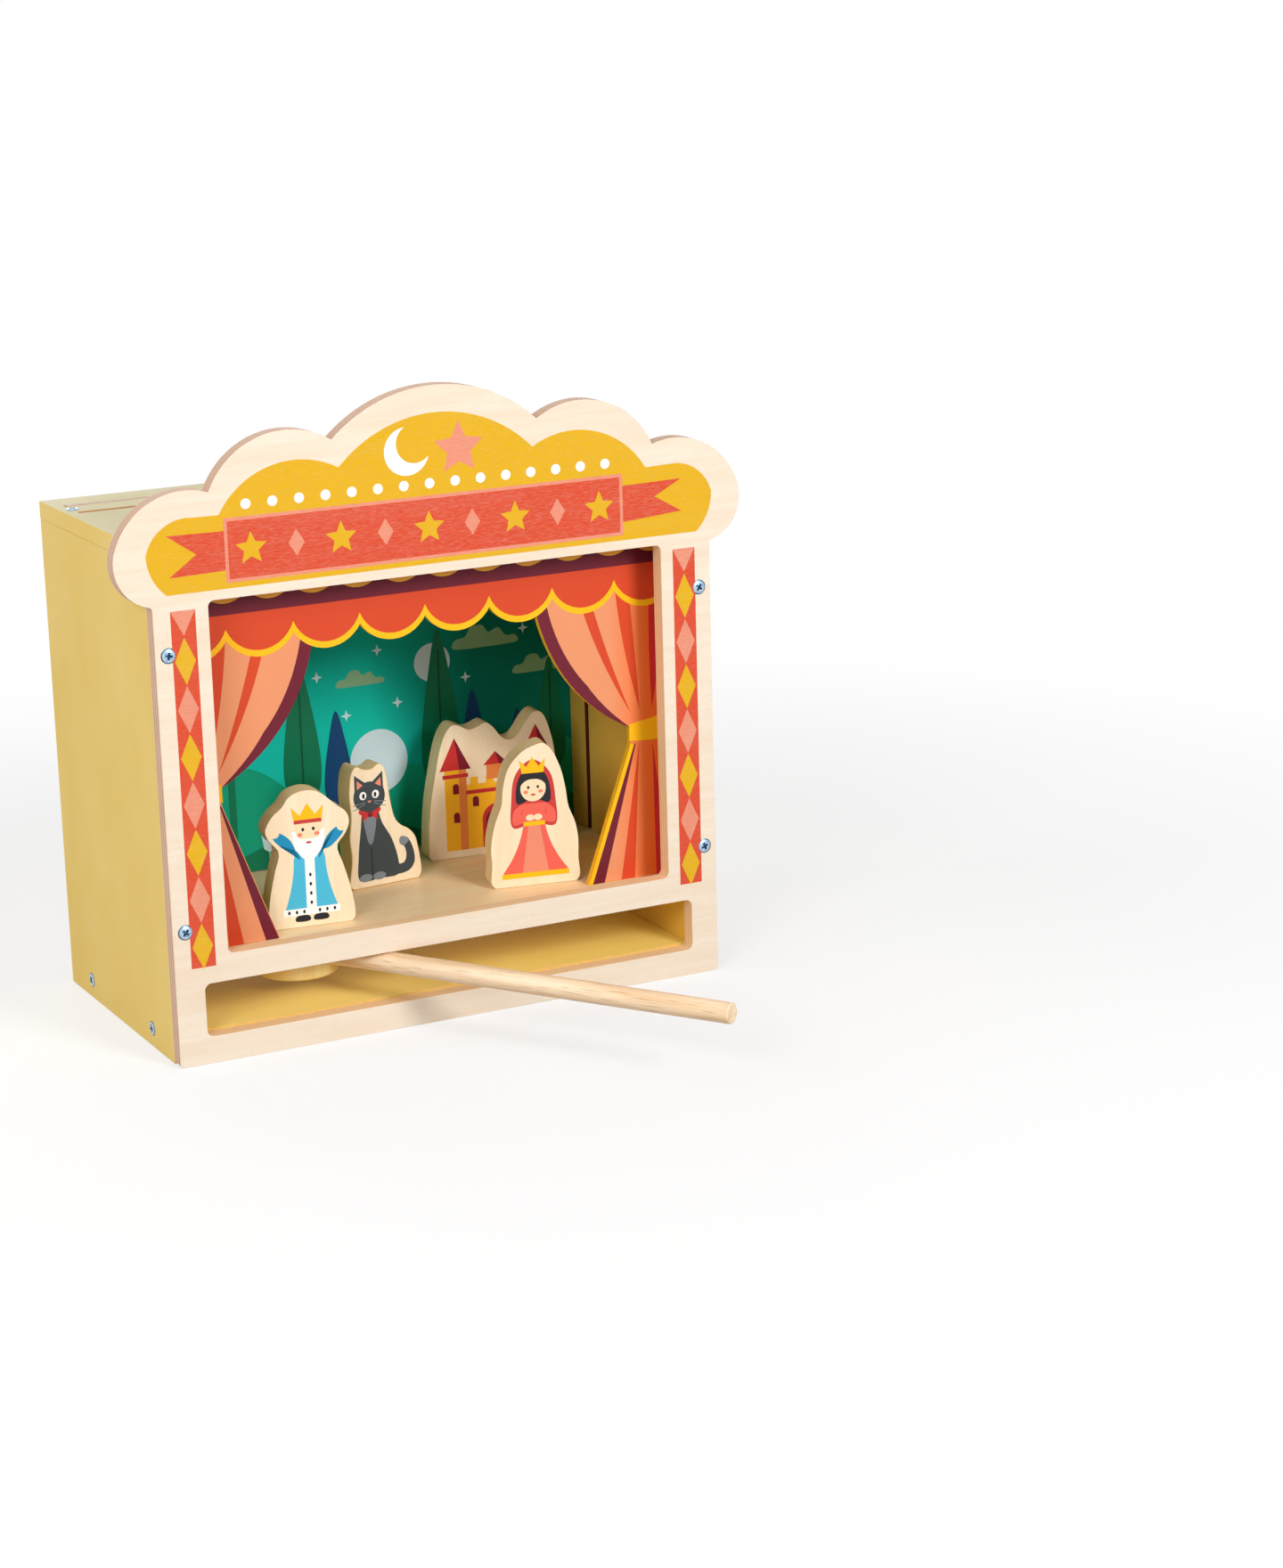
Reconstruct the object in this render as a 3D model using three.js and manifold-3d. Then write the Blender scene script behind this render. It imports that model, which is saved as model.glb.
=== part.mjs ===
import * as THREE from 'three';
import { mergeVertices } from 'three/addons/utils/BufferGeometryUtils.js';
import Module from 'manifold-3d';

// A wooden table-top puppet theatre with its scenery board, its stage pieces and its magnet wand.
// Millimetres: X runs to the right as the audience sees it, Y to the back and Z up.
// The origin is on the table, at the middle of the theatre's footprint.

const wasm = await Module();
wasm.setup();

// Boards of the box
const boxWidth = 340;
const boxDepth = 177;
const sideHeight = 282;
const frontThickness = 10;
const sideThickness = 15;
const topThickness = 10;
const baseThickness = 17;
const floorThickness = 8;
const seatGap = 0.25;
const cutOverrun = 2;

// Front panel, heights from the table
const columnWidth = 31.7;
const openingSill = 62;
const openingHeight = 199.5;
const openingCorner = 3.5;
const wandSlotMargin = 16.8;
const wandSlotSill = 15.6;
const wandSlotCorner = 4;
const railHeight = 15.5;
const footCorner = 3;
const neckFillet = 2.6;
const crestRise = 105;

// The right half of the scalloped crest, from the neck to the top of the middle lobe.
// Each row is an arc: the point that it passes and the point where it ends,
// across as a share of half the box's width and up as a share of the crest's rise.
const crestArcShares = [
  [[1.094, 0.096], [1.1135, 0.3019]],
  [[0.9882, 0.54], [0.7912, 0.5619]],
  [[0.5176, 0.8429], [0.3647, 0.7667]],
  [[0.196, 0.94], [0, 1]],
];

// Stage floor, and the grooves and slots that scenery boards slide down
const stageDrop = 4.5;
const grooveWidth = 5;
const grooveDepth = 8;
const rearSlotInset = 25;
const slotSpacing = 25;

// Curtain board: how far each curtain reaches in from its side wall, and its heights
const curtainSetback = 15;
const curtainThickness = 4;
const footReach = 57;
const tieReach = 27;
const sweepReach = 77;
const topReach = 87.2;
const tieRise = 82;
const tieHeight = 10;
const sweepRise = 117.5;
const valanceDrop = 28.9;
const scallopPitch = 40;
const scallopDepth = 11.2;

// Scenery board in the rear slot
const sceneryThickness = 4;
const sceneryEndPlay = 1;

// Wood screws with a raised countersunk head
const screwLength = 30;
const screwHeadDiameter = 8.5;
const screwShankDiameter = 3.5;
const screwHeadRise = 1.1;
const screwRim = 0.4;
const screwPointLength = 4;
const screwClearance = 0.3;
const recessLength = 4.8;
const recessWidth = 1.1;
const recessDepth = 1.8;
const domeShare = 0.62;
const upperScrewDrop = 48;
const lowerScrewRise = 16;
const cornerScrewInset = 35;
const baseScrewRise = 11;

// Stage pieces
const kingWidth = 51.3;
const kingHeight = 80;
const queenWidth = 54.3;
const queenHeight = 86;
const catWidth = 48.6;
const catHeight = 75;
const castleWidth = 86;
const castleHeight = 86;
const figureThickness = 15;
const restGap = 0.3;
const magnetDiameter = 8;
const magnetHeight = 3;
const magnetGap = 0.25;

// Outlines of the stage pieces from the left foot over the top to the right foot,
// across as a share of the piece's width and up as a share of its height.
const kingOutlineShares = [
  [-0.455, 0], [-0.5, 0.045], [-0.475, 0.22], [-0.405, 0.42], [-0.345, 0.565], [-0.455, 0.665],
  [-0.485, 0.745], [-0.4, 0.835], [-0.285, 0.895], [-0.2, 0.965], [-0.05, 1], [0.1, 0.99],
  [0.22, 0.94], [0.33, 0.87], [0.44, 0.815], [0.475, 0.735], [0.42, 0.65], [0.325, 0.565],
  [0.39, 0.42], [0.47, 0.22], [0.5, 0.045], [0.455, 0],
];
const queenOutlineShares = [
  [-0.455, 0], [-0.5, 0.045], [-0.485, 0.16], [-0.49, 0.3], [-0.44, 0.45], [-0.36, 0.58],
  [-0.335, 0.7], [-0.27, 0.84], [-0.12, 0.945], [0.04, 0.99], [0.14, 0.995], [0.235, 0.93],
  [0.32, 0.8], [0.365, 0.66], [0.39, 0.54], [0.46, 0.42], [0.49, 0.3], [0.485, 0.16],
  [0.5, 0.045], [0.455, 0],
];
const catOutlineShares = [
  [-0.45, 0], [-0.5, 0.05], [-0.455, 0.24], [-0.475, 0.42], [-0.44, 0.6], [-0.455, 0.76],
  [-0.42, 0.93], [-0.345, 0.995], [-0.25, 0.965], [-0.14, 0.955], [-0.03, 0.99], [0.05, 0.945],
  [0.085, 0.8], [0.115, 0.65], [0.16, 0.53], [0.24, 0.462], [0.345, 0.42], [0.43, 0.352],
  [0.468, 0.25], [0.492, 0.15], [0.5, 0.05], [0.455, 0],
];
const castleOutlineShares = [
  [-0.475, 0], [-0.5, 0.04], [-0.493, 0.22], [-0.472, 0.42], [-0.435, 0.61], [-0.397, 0.78],
  [-0.355, 0.895], [-0.3, 0.962], [-0.24, 0.955], [-0.175, 0.92], [-0.11, 0.933], [-0.045, 0.958],
  [0.01, 0.92], [0.06, 0.852], [0.115, 0.816], [0.17, 0.825], [0.215, 0.872], [0.265, 0.943],
  [0.325, 0.995], [0.385, 0.975], [0.43, 0.865], [0.465, 0.7], [0.488, 0.4], [0.5, 0.04], [0.475, 0],
];

// Where each piece stands: across as a share of the stage's half width from its middle,
// and back as a share of the stage's depth from the curtain board to the scenery board.
const stagePieces = [
  {
    name: 'king', width: kingWidth, height: kingHeight, turnDegrees: -6.3,
    outlineShares: kingOutlineShares, placeShares: [-0.47, 0.0625], color: 0x2f86b4,
  },
  {
    name: 'queen', width: queenWidth, height: queenHeight, turnDegrees: -10.8,
    outlineShares: queenOutlineShares, placeShares: [0.465, 0.1071], color: 0xe0604a,
  },
  {
    name: 'cat', width: catWidth, height: catHeight, turnDegrees: 5.4,
    outlineShares: catOutlineShares, placeShares: [-0.02, 0.4814], color: 0x3c4450,
  },
  {
    name: 'castle', width: castleWidth, height: castleHeight, turnDegrees: -5.2,
    outlineShares: castleOutlineShares, placeShares: [0.527, 0.6869], color: 0xe9a13b,
  },
];

// Magnet wand
const puckDiameter = 48;
const puckHeight = 22;
const puckEdge = 2;
const rodDiameter = 12;
const rodEdge = 0.8;
const rodReach = 284;
const rodTopClearance = 0.5;
const rodSocketFloor = 7;
const rodClearance = 0.3;
const wandTurnDegrees = 33.5;

// How far the wand's magnet stands aside of and behind the magnet of the piece that it holds
const wandAside = -4.6;
const wandBehind = 10.4;

// How finely round shapes are divided
const cornerSteps = 5;
const crestSteps = 20;
const sweepSteps = 16;
const scallopSides = 40;
const outlineSteps = 66;
const screwSides = 12;
const magnetSides = 20;
const puckSides = 40;
const rodSides = 20;

// Places that several pieces share
const halfWidth = boxWidth / 2;
const innerHalf = halfWidth - sideThickness;
const boxFront = frontThickness + seatGap;
const boxBack = frontThickness + boxDepth;
const stageTop = openingSill - stageDrop;
const stageUnder = stageTop - floorThickness;
const openingTop = openingSill + openingHeight;
const wandSlotTop = openingSill - railHeight;
const topUnder = sideHeight + seatGap;
const topFace = topUnder + topThickness;
const rearSlot = boxBack - rearSlotInset;
const frontSlot = rearSlot - slotSpacing;
const grooveHalf = innerHalf + grooveDepth;
const curtainFront = frontThickness + curtainSetback;
const curtainBack = curtainFront + curtainThickness;
const sceneryFront = rearSlot - sceneryThickness / 2;
const stageDepth = sceneryFront - curtainBack;

// Finishes
const finish = (color, roughness, metalness = 0) => new THREE.MeshStandardMaterial({ color, roughness, metalness });
const birch = () => finish(0xf2ddb8, 0.55);
const paleYellowPaint = () => finish(0xd9c27a, 0.5);
const yellowPaint = () => finish(0xe0b955, 0.5);
const zinc = () => finish(0x9fb2c4, 0.35, 0.9);
const magnetFinish = () => finish(0xb5573f, 0.45);

// A closed geometry becomes a solid that can be joined and cut, and the result a geometry again
function solidOf(geometry) {
  const bare = geometry.clone();
  bare.deleteAttribute('normal');
  bare.deleteAttribute('uv');
  const merged = mergeVertices(bare);
  const vertProperties = merged.attributes.position.array;
  const triVerts = new Uint32Array(merged.index.array);
  return new wasm.Manifold(new wasm.Mesh({ numProp: 3, vertProperties, triVerts }));
}

function geometryOf(solid) {
  const { vertProperties, triVerts } = solid.getMesh();
  const geometry = new THREE.BufferGeometry();
  geometry.setAttribute('position', new THREE.BufferAttribute(vertProperties, 3));
  geometry.setIndex(new THREE.BufferAttribute(triVerts, 1));
  geometry.computeVertexNormals();
  return geometry;
}

function cut(geometry, tools) {
  const result = tools.reduce((solid, tool) => solid.subtract(solidOf(tool)), solidOf(geometry));
  return geometryOf(result);
}

function boxBetween(low, high) {
  const [x, y, z] = low.map((value, axis) => high[axis] - value);
  const box = new THREE.BoxGeometry(x, y, z);
  return box.translate(...low.map((value, axis) => (value + high[axis]) / 2));
}

// A shape drawn in X and Z that stands upright, its front face at the given depth
function upright(shape, thickness, front) {
  const geometry = new THREE.ExtrudeGeometry(shape, { depth: thickness, bevelEnabled: false });
  return geometry.rotateX(Math.PI / 2).translate(0, front + thickness, 0);
}

// Points of the arc that runs from one point, past a second, to a third
function arcThrough(from, via, to, steps) {
  const a = via.clone().sub(from);
  const b = to.clone().sub(from);
  const twiceCross = 2 * a.cross(b);
  const centre = new THREE.Vector2(
    from.x + (b.y * a.lengthSq() - a.y * b.lengthSq()) / twiceCross,
    from.y + (a.x * b.lengthSq() - b.x * a.lengthSq()) / twiceCross,
  );
  const start = Math.atan2(from.y - centre.y, from.x - centre.x);
  const end = Math.atan2(to.y - centre.y, to.x - centre.x);
  const arc = new THREE.EllipseCurve(
    centre.x, centre.y, centre.distanceTo(from), centre.distanceTo(from), start, end, twiceCross < 0,
  );
  return arc.getPoints(steps);
}

function quarterArc(x, y, radius, startQuarter) {
  const start = startQuarter * Math.PI / 2;
  return new THREE.EllipseCurve(x, y, radius, radius, start, start + Math.PI / 2).getPoints(cornerSteps);
}

function roundedRectangle(left, bottom, right, top, radius) {
  return [
    ...quarterArc(right - radius, bottom + radius, radius, 3),
    ...quarterArc(right - radius, top - radius, radius, 0),
    ...quarterArc(left + radius, top - radius, radius, 1),
    ...quarterArc(left + radius, bottom + radius, radius, 2),
  ];
}

// The other half of an outline that is symmetric about X = 0, in the opposite order
const mirrored = (points) => points.map((point) => new THREE.Vector2(-point.x, point.y)).reverse();

// Screws: the twelve places, each with the way the head faces
const screwCentre = halfWidth - sideThickness / 2;
const frontCornerScrew = frontThickness + cornerScrewInset;
const rearCornerScrew = (frontSlot + rearSlot) / 2;
const screwPlaces = [];
for (const [side, sign] of [['left', -1], ['right', 1]]) {
  const facingFront = new THREE.Vector3(0, -1, 0);
  const facingUp = new THREE.Vector3(0, 0, 1);
  const facingOut = new THREE.Vector3(sign, 0, 0);
  const x = sign * screwCentre;
  screwPlaces.push(
    { name: `front_screw_${side}_upper`, at: [x, 0, sideHeight - upperScrewDrop], facing: facingFront },
    { name: `front_screw_${side}_lower`, at: [x, 0, openingSill + lowerScrewRise], facing: facingFront },
    { name: `top_screw_${side}_front`, at: [x, frontCornerScrew, topFace], facing: facingUp },
    { name: `top_screw_${side}_rear`, at: [x, rearCornerScrew, topFace], facing: facingUp },
    {
      name: `base_screw_${side}_front`,
      at: [sign * halfWidth, frontCornerScrew, baseScrewRise],
      facing: facingOut,
    },
    {
      name: `base_screw_${side}_rear`,
      at: [sign * halfWidth, rearCornerScrew, baseScrewRise],
      facing: facingOut,
    },
  );
}

function screwMatrix(place) {
  const turn = new THREE.Quaternion().setFromUnitVectors(new THREE.Vector3(0, 1, 0), place.facing);
  return new THREE.Matrix4().compose(new THREE.Vector3(...place.at), turn, new THREE.Vector3(1, 1, 1));
}

function screwGeometry() {
  const headRadius = screwHeadDiameter / 2;
  const shankRadius = screwShankDiameter / 2;
  const coneDepth = headRadius - shankRadius;
  const profile = [
    [0, -screwLength],
    [shankRadius, -screwLength + screwPointLength],
    [shankRadius, -screwRim - coneDepth],
    [headRadius, -screwRim],
    [headRadius, 0],
    [headRadius * domeShare, screwHeadRise * domeShare],
    [0, screwHeadRise],
  ].map(([x, y]) => new THREE.Vector2(x, y));
  const blank = new THREE.LatheGeometry(profile, screwSides);
  const high = screwHeadRise + cutOverrun;
  const long = recessLength / 2;
  const wide = recessWidth / 2;
  const low = screwHeadRise - recessDepth;
  return cut(blank, [
    boxBetween([-long, low, -wide], [long, high, wide]),
    boxBetween([-wide, low, -long], [wide, high, long]),
  ]);
}

function screwHole(place) {
  const headRadius = screwHeadDiameter / 2 + screwClearance;
  const shankRadius = screwShankDiameter / 2 + screwClearance;
  const profile = [
    [0, -screwLength - screwClearance],
    [shankRadius, -screwLength - screwClearance],
    [shankRadius, -screwRim - headRadius + shankRadius],
    [headRadius, -screwRim],
    [headRadius, cutOverrun],
    [0, cutOverrun],
  ].map(([x, y]) => new THREE.Vector2(x, y));
  return new THREE.LatheGeometry(profile, screwSides).applyMatrix4(screwMatrix(place));
}

const screwHoles = (start) => screwPlaces.filter(({ name }) => name.startsWith(start)).map(screwHole);

// Front panel: two columns, a rail between stage opening and wand slot, and the scalloped crest
function frontPanel() {
  const crestPoint = ([x, z]) => new THREE.Vector2(x * halfWidth, openingTop + z * crestRise);
  const filletEnd = new THREE.Vector2(halfWidth + neckFillet, openingTop + neckFillet * 0.1);
  const half = [
    ...quarterArc(halfWidth - footCorner, footCorner, footCorner, 3),
    ...new THREE.QuadraticBezierCurve(
      new THREE.Vector2(halfWidth, openingTop - neckFillet),
      new THREE.Vector2(halfWidth, openingTop),
      filletEnd,
    ).getPoints(cornerSteps),
  ];
  for (const [via, to] of crestArcShares) {
    half.push(...arcThrough(half.at(-1), crestPoint(via), crestPoint(to), crestSteps).slice(1));
  }
  const shape = new THREE.Shape([...half, ...mirrored(half.slice(0, -1))]);
  const openingHalf = halfWidth - columnWidth;
  const slotHalf = halfWidth - wandSlotMargin;
  shape.holes.push(
    new THREE.Path(roundedRectangle(-openingHalf, openingSill, openingHalf, openingTop, openingCorner)),
    new THREE.Path(roundedRectangle(-slotHalf, wandSlotSill, slotHalf, wandSlotTop, wandSlotCorner)),
  );
  return cut(upright(shape, frontThickness, 0), screwHoles('front'));
}

// Side panel: grooved on its inner face above the stage floor for the scenery boards
function sidePanel(sign) {
  const side = sign < 0 ? 'left' : 'right';
  const across = [sign * innerHalf, sign * halfWidth].sort((a, b) => a - b);
  const board = boxBetween([across[0], boxFront, 0], [across[1], boxBack, sideHeight]);
  const groove = (slot) => {
    const reach = [sign * (innerHalf - cutOverrun), sign * grooveHalf].sort((a, b) => a - b);
    return boxBetween(
      [reach[0], slot - grooveWidth / 2, stageTop],
      [reach[1], slot + grooveWidth / 2, sideHeight + cutOverrun],
    );
  };
  const holes = ['front', 'top', 'base'].flatMap((start) => screwHoles(`${start}_screw_${side}`));
  return cut(board, [groove(frontSlot), groove(rearSlot), ...holes]);
}

// Top panel: a board with two slots right through it, over the grooves
function topPanel() {
  const board = boxBetween([-halfWidth, boxFront, topUnder], [halfWidth, boxBack, topFace]);
  const slot = (middle) => boxBetween(
    [-grooveHalf, middle - grooveWidth / 2, topUnder - cutOverrun],
    [grooveHalf, middle + grooveWidth / 2, topFace + cutOverrun],
  );
  return cut(board, [slot(frontSlot), slot(rearSlot), ...screwHoles('top')]);
}

function baseBoard() {
  const reach = innerHalf - seatGap;
  return cut(boxBetween([-reach, boxFront, 0], [reach, boxBack, baseThickness]), screwHoles('base'));
}

function stageFloor() {
  const reach = innerHalf - seatGap;
  return boxBetween([-reach, boxFront, stageUnder], [reach, boxBack, stageTop]);
}

// Curtain board: one sheet whose opening leaves a tied curtain at each side and a scalloped valance
function curtainBoard() {
  const reach = innerHalf - seatGap;
  const bottom = stageTop + seatGap;
  const top = sideHeight;
  const cuspHeight = openingTop - valanceDrop;
  const point = (inward, rise) => new THREE.Vector2(innerHalf - inward, stageTop + rise);
  const sweepEnd = new THREE.Vector2(innerHalf - topReach, cuspHeight);
  const half = [
    new THREE.Vector2(innerHalf - footReach, bottom - cutOverrun),
    point(footReach, seatGap),
    point(tieReach, tieRise),
    ...new THREE.QuadraticBezierCurve(
      point(tieReach, tieRise + tieHeight),
      point(sweepReach, sweepRise),
      sweepEnd,
    ).getPoints(sweepSteps),
  ];
  const clear = curtainThickness + 2 * cutOverrun;
  const opening = upright(new THREE.Shape([...half, ...mirrored(half)]), clear, curtainFront - cutOverrun);
  const radius = ((scallopPitch / 2) ** 2 + scallopDepth ** 2) / (2 * scallopDepth);
  const scallopPairs = Math.ceil((innerHalf - topReach) / scallopPitch);
  let hole = solidOf(opening);
  for (let pair = 0; pair < scallopPairs; pair += 1) {
    for (const sign of [-1, 1]) {
      const scallop = new THREE.CylinderGeometry(radius, radius, clear + 2 * cutOverrun, scallopSides);
      const x = sign * (pair + 0.5) * scallopPitch;
      scallop.translate(x, curtainFront + curtainThickness / 2, cuspHeight - scallopDepth + radius);
      hole = hole.subtract(solidOf(scallop));
    }
  }
  const board = boxBetween([-reach, curtainFront, bottom], [reach, curtainBack, top]);
  return geometryOf(solidOf(board).subtract(hole));
}

// Scenery board: a thin sheet in the rear slot, standing on the stage floor
function sceneryBoard() {
  const reach = grooveHalf - sceneryEndPlay;
  return boxBetween(
    [-reach, sceneryFront, stageTop + restGap],
    [reach, sceneryFront + sceneryThickness, topFace],
  );
}

function disc(radius, height, sides) {
  return new THREE.CylinderGeometry(radius, radius, height, sides).rotateX(Math.PI / 2);
}

// Stage piece: a flat block sawn to a smooth outline, with a pocket for its magnet underneath
function stagePieceGeometry({ width, height, outlineShares }) {
  const points = outlineShares.map(([x, z]) => new THREE.Vector2(x * width, z * height));
  const outline = new THREE.SplineCurve(points).getPoints(outlineSteps).reverse();
  const pocketHeight = magnetHeight + magnetGap + cutOverrun;
  const pocket = disc(magnetDiameter / 2 + magnetGap, pocketHeight, magnetSides);
  pocket.translate(0, figureThickness / 2, pocketHeight / 2 - cutOverrun);
  return cut(upright(new THREE.Shape(outline), figureThickness, 0), [pocket]);
}

function named(name, geometry, material) {
  const mesh = new THREE.Mesh(geometry, material);
  mesh.name = name;
  return mesh;
}

const pieceTurn = (piece) => THREE.MathUtils.degToRad(piece.turnDegrees);

function piecePlace({ placeShares: [across, back] }) {
  return new THREE.Vector2(across * innerHalf, curtainBack + back * stageDepth);
}

function stagePiece(piece) {
  const group = new THREE.Group();
  const place = piecePlace(piece);
  const body = piece.name === 'castle' ? 'castle_block' : `${piece.name}_figure`;
  const magnet = named(
    `${piece.name}_magnet`, disc(magnetDiameter / 2, magnetHeight, magnetSides), magnetFinish(),
  );
  magnet.position.set(0, figureThickness / 2, magnetHeight / 2);
  group.add(named(body, stagePieceGeometry(piece), finish(piece.color, 0.5)), magnet);
  group.position.set(place.x, place.y, stageTop + restGap);
  group.rotation.z = pieceTurn(piece);
  return group;
}

// Magnet wand: a puck under the stage floor with a long round handle that leaves by the wand slot
const rodAxisDrop = stageUnder - restGap - (wandSlotTop - rodTopClearance - rodDiameter / 2);

function rodAlong(radius, near, far, edge) {
  const profile = [
    [0, near], [radius - edge, near], [radius, near + edge],
    [radius, far - edge], [radius - edge, far], [0, far],
  ].map(([x, y]) => new THREE.Vector2(x, y));
  return new THREE.LatheGeometry(profile, rodSides).rotateX(Math.PI).translate(0, 0, -rodAxisDrop);
}

function wandPuck() {
  const radius = puckDiameter / 2;
  const profile = [
    [0, -puckHeight], [radius - puckEdge, -puckHeight], [radius, -puckHeight + puckEdge],
    [radius, -puckEdge], [radius - puckEdge, 0], [0, 0],
  ].map(([x, y]) => new THREE.Vector2(x, y));
  const blank = new THREE.LatheGeometry(profile, puckSides).rotateX(Math.PI / 2);
  const socketEnd = radius + cutOverrun;
  const socket = rodAlong(rodDiameter / 2 + rodClearance, rodSocketFloor - rodClearance, socketEnd, rodEdge);
  const pocketHeight = magnetHeight + magnetGap + cutOverrun;
  const pocket = disc(magnetDiameter / 2 + magnetGap, pocketHeight, magnetSides);
  pocket.translate(0, 0, cutOverrun - pocketHeight / 2);
  return cut(blank, [socket, pocket]);
}

function wand(carried) {
  const group = new THREE.Group();
  const centre = new THREE.Vector2(0, figureThickness / 2)
    .rotateAround(new THREE.Vector2(), pieceTurn(carried))
    .add(piecePlace(carried))
    .add(new THREE.Vector2(wandAside, wandBehind));
  const magnet = named('wand_magnet', disc(magnetDiameter / 2, magnetHeight, magnetSides), magnetFinish());
  magnet.position.z = -magnetHeight / 2;
  group.add(
    named('wand_puck', wandPuck(), birch()),
    named('wand_rod', rodAlong(rodDiameter / 2, rodSocketFloor, rodReach, rodEdge), birch()),
    magnet,
  );
  group.position.set(centre.x, centre.y, stageUnder - restGap);
  group.rotation.z = THREE.MathUtils.degToRad(wandTurnDegrees);
  return group;
}

function screws() {
  const geometry = screwGeometry();
  return screwPlaces.map((place) => {
    const screw = named(place.name, geometry, zinc());
    screw.applyMatrix4(screwMatrix(place));
    return screw;
  });
}

// Depths inside this group count from the front panel's face
const theatre = new THREE.Group();
theatre.add(
  named('front_panel', frontPanel(), birch()),
  named('left_side_panel', sidePanel(-1), paleYellowPaint()),
  named('right_side_panel', sidePanel(1), paleYellowPaint()),
  named('top_panel', topPanel(), paleYellowPaint()),
  named('base_board', baseBoard(), yellowPaint()),
  named('stage_floor', stageFloor(), birch()),
  named('curtain_board', curtainBoard(), finish(0xe2623c, 0.5)),
  named('scenery_board', sceneryBoard(), finish(0x26a08e, 0.45)),
  ...screws(),
  ...stagePieces.map(stagePiece),
  wand(stagePieces[0]),
);
theatre.position.y = -boxBack / 2;

const part = new THREE.Group();
part.add(theatre);

export default part;
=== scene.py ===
import math

import bmesh
import bpy
from mathutils import Matrix, Vector


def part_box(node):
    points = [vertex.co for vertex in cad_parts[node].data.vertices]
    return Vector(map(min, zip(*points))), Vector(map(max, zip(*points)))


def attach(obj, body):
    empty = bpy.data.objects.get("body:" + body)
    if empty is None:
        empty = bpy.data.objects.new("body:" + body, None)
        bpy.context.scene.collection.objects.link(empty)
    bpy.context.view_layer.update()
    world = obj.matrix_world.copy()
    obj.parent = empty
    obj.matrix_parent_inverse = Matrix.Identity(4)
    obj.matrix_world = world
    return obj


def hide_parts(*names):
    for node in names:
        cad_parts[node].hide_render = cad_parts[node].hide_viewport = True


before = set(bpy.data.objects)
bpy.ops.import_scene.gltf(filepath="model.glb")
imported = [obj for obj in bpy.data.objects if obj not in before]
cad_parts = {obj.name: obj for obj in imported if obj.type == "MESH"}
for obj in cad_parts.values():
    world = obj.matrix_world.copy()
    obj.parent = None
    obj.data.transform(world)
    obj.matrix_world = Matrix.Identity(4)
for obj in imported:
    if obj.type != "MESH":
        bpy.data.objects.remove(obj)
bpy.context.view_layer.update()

# A wooden table-top puppet theatre. Lengths in the dictionaries are millimetres, and the scales of noise
# are cells per metre
mm = 0.001
print('frame loaded,', len(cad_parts), 'nodes')

# Colours of the woods, paints and printing inks under white light, 0 to 255
colour = {
    'birch': (239, 223, 203), 'birchDark': (229, 204, 175), 'birchFleck': (224, 192, 150),
    'plyLight': (232, 196, 168), 'plyDark': (184, 144, 118),
    'sillBounceLight': (252, 220, 176), 'sillBounceDark': (238, 194, 146),
    'floorWood': (255, 230, 184), 'floorWoodDark': (255, 208, 154),
    'block': (248, 228, 196), 'blockDark': (238, 206, 162),
    'blockSideLit': (255, 226, 172), 'blockSideLitDark': (252, 202, 140),
    'rod': (250, 227, 194), 'rodDark': (228, 188, 142), 'rodPore': (196, 150, 104),
    'puck': (255, 234, 166), 'puckDark': (250, 206, 126),

    'boxPaint': (238, 207, 124), 'boxPaintDeep': (234, 200, 110),
    'topPaintSheen': (229, 219, 180), 'topPaintSheenDeep': (223, 211, 164),
    'slotPaint': (214, 164, 100), 'groove': (104, 52, 24),
    'basePaintLit': (253, 228, 130), 'basePaintLitDeep': (248, 218, 114), 'baseFrontShade': (226, 184, 104),
    'innerPaintBounce': (240, 198, 88), 'innerPaintBounceDeep': (234, 188, 76), 'boardEdge': (150, 104, 66),

    'yellow': (223, 171, 0), 'banner': (213, 71, 38), 'salmon': (228, 139, 111), 'white': (250, 248, 244),
    'peach': (228, 147, 103), 'apricotWarmShade': (240, 112, 44), 'red': (208, 70, 35), 'deepRed': (204, 48, 48),
    'maroon': (106, 26, 42), 'gold': (248, 186, 18), 'amberBounce': (252, 180, 62),
    'teal': (26, 206, 188), 'tealDeepAndShade': (0, 170, 150), 'hill': (0, 166, 130), 'leaf': (0, 122, 84),
    'leafDarkAndShade': (0, 78, 54), 'navy': (0, 68, 118), 'sky': (214, 238, 248), 'sage': (142, 190, 146),
    'skin': (250, 218, 178), 'cheek': (240, 130, 105), 'blue': (74, 182, 214), 'blueDeep': (26, 138, 180),
    'coral': (232, 98, 82), 'coralDeep': (196, 62, 56), 'black': (34, 33, 38), 'fur': (58, 66, 68),
    'furLight': (124, 130, 138), 'wall': (246, 178, 34), 'wallShade': (226, 128, 62),
    'roof': (196, 48, 46), 'roofShade': (122, 22, 40),

    'zinc': (186, 206, 222), 'zincStainAndShade': (124, 164, 196), 'zincRecessShadeDark': (34, 62, 92),
    'zincRecessShadeBlue': (84, 142, 190), 'magnet': (176, 84, 60),
}


def tone(name):
    def linear(value):
        share = value / 255
        return share / 12.92 if share <= 0.04045 else ((share + 0.055) / 1.055) ** 2.4
    return tuple(linear(value) for value in colour[name]) + (1.0,)


def varied(shade, factor, rise=0.0):  # a lighter or darker version of a tone
    return tuple(min(1.0, channel * factor + rise) for channel in shade[:3]) + (1.0,)


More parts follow.
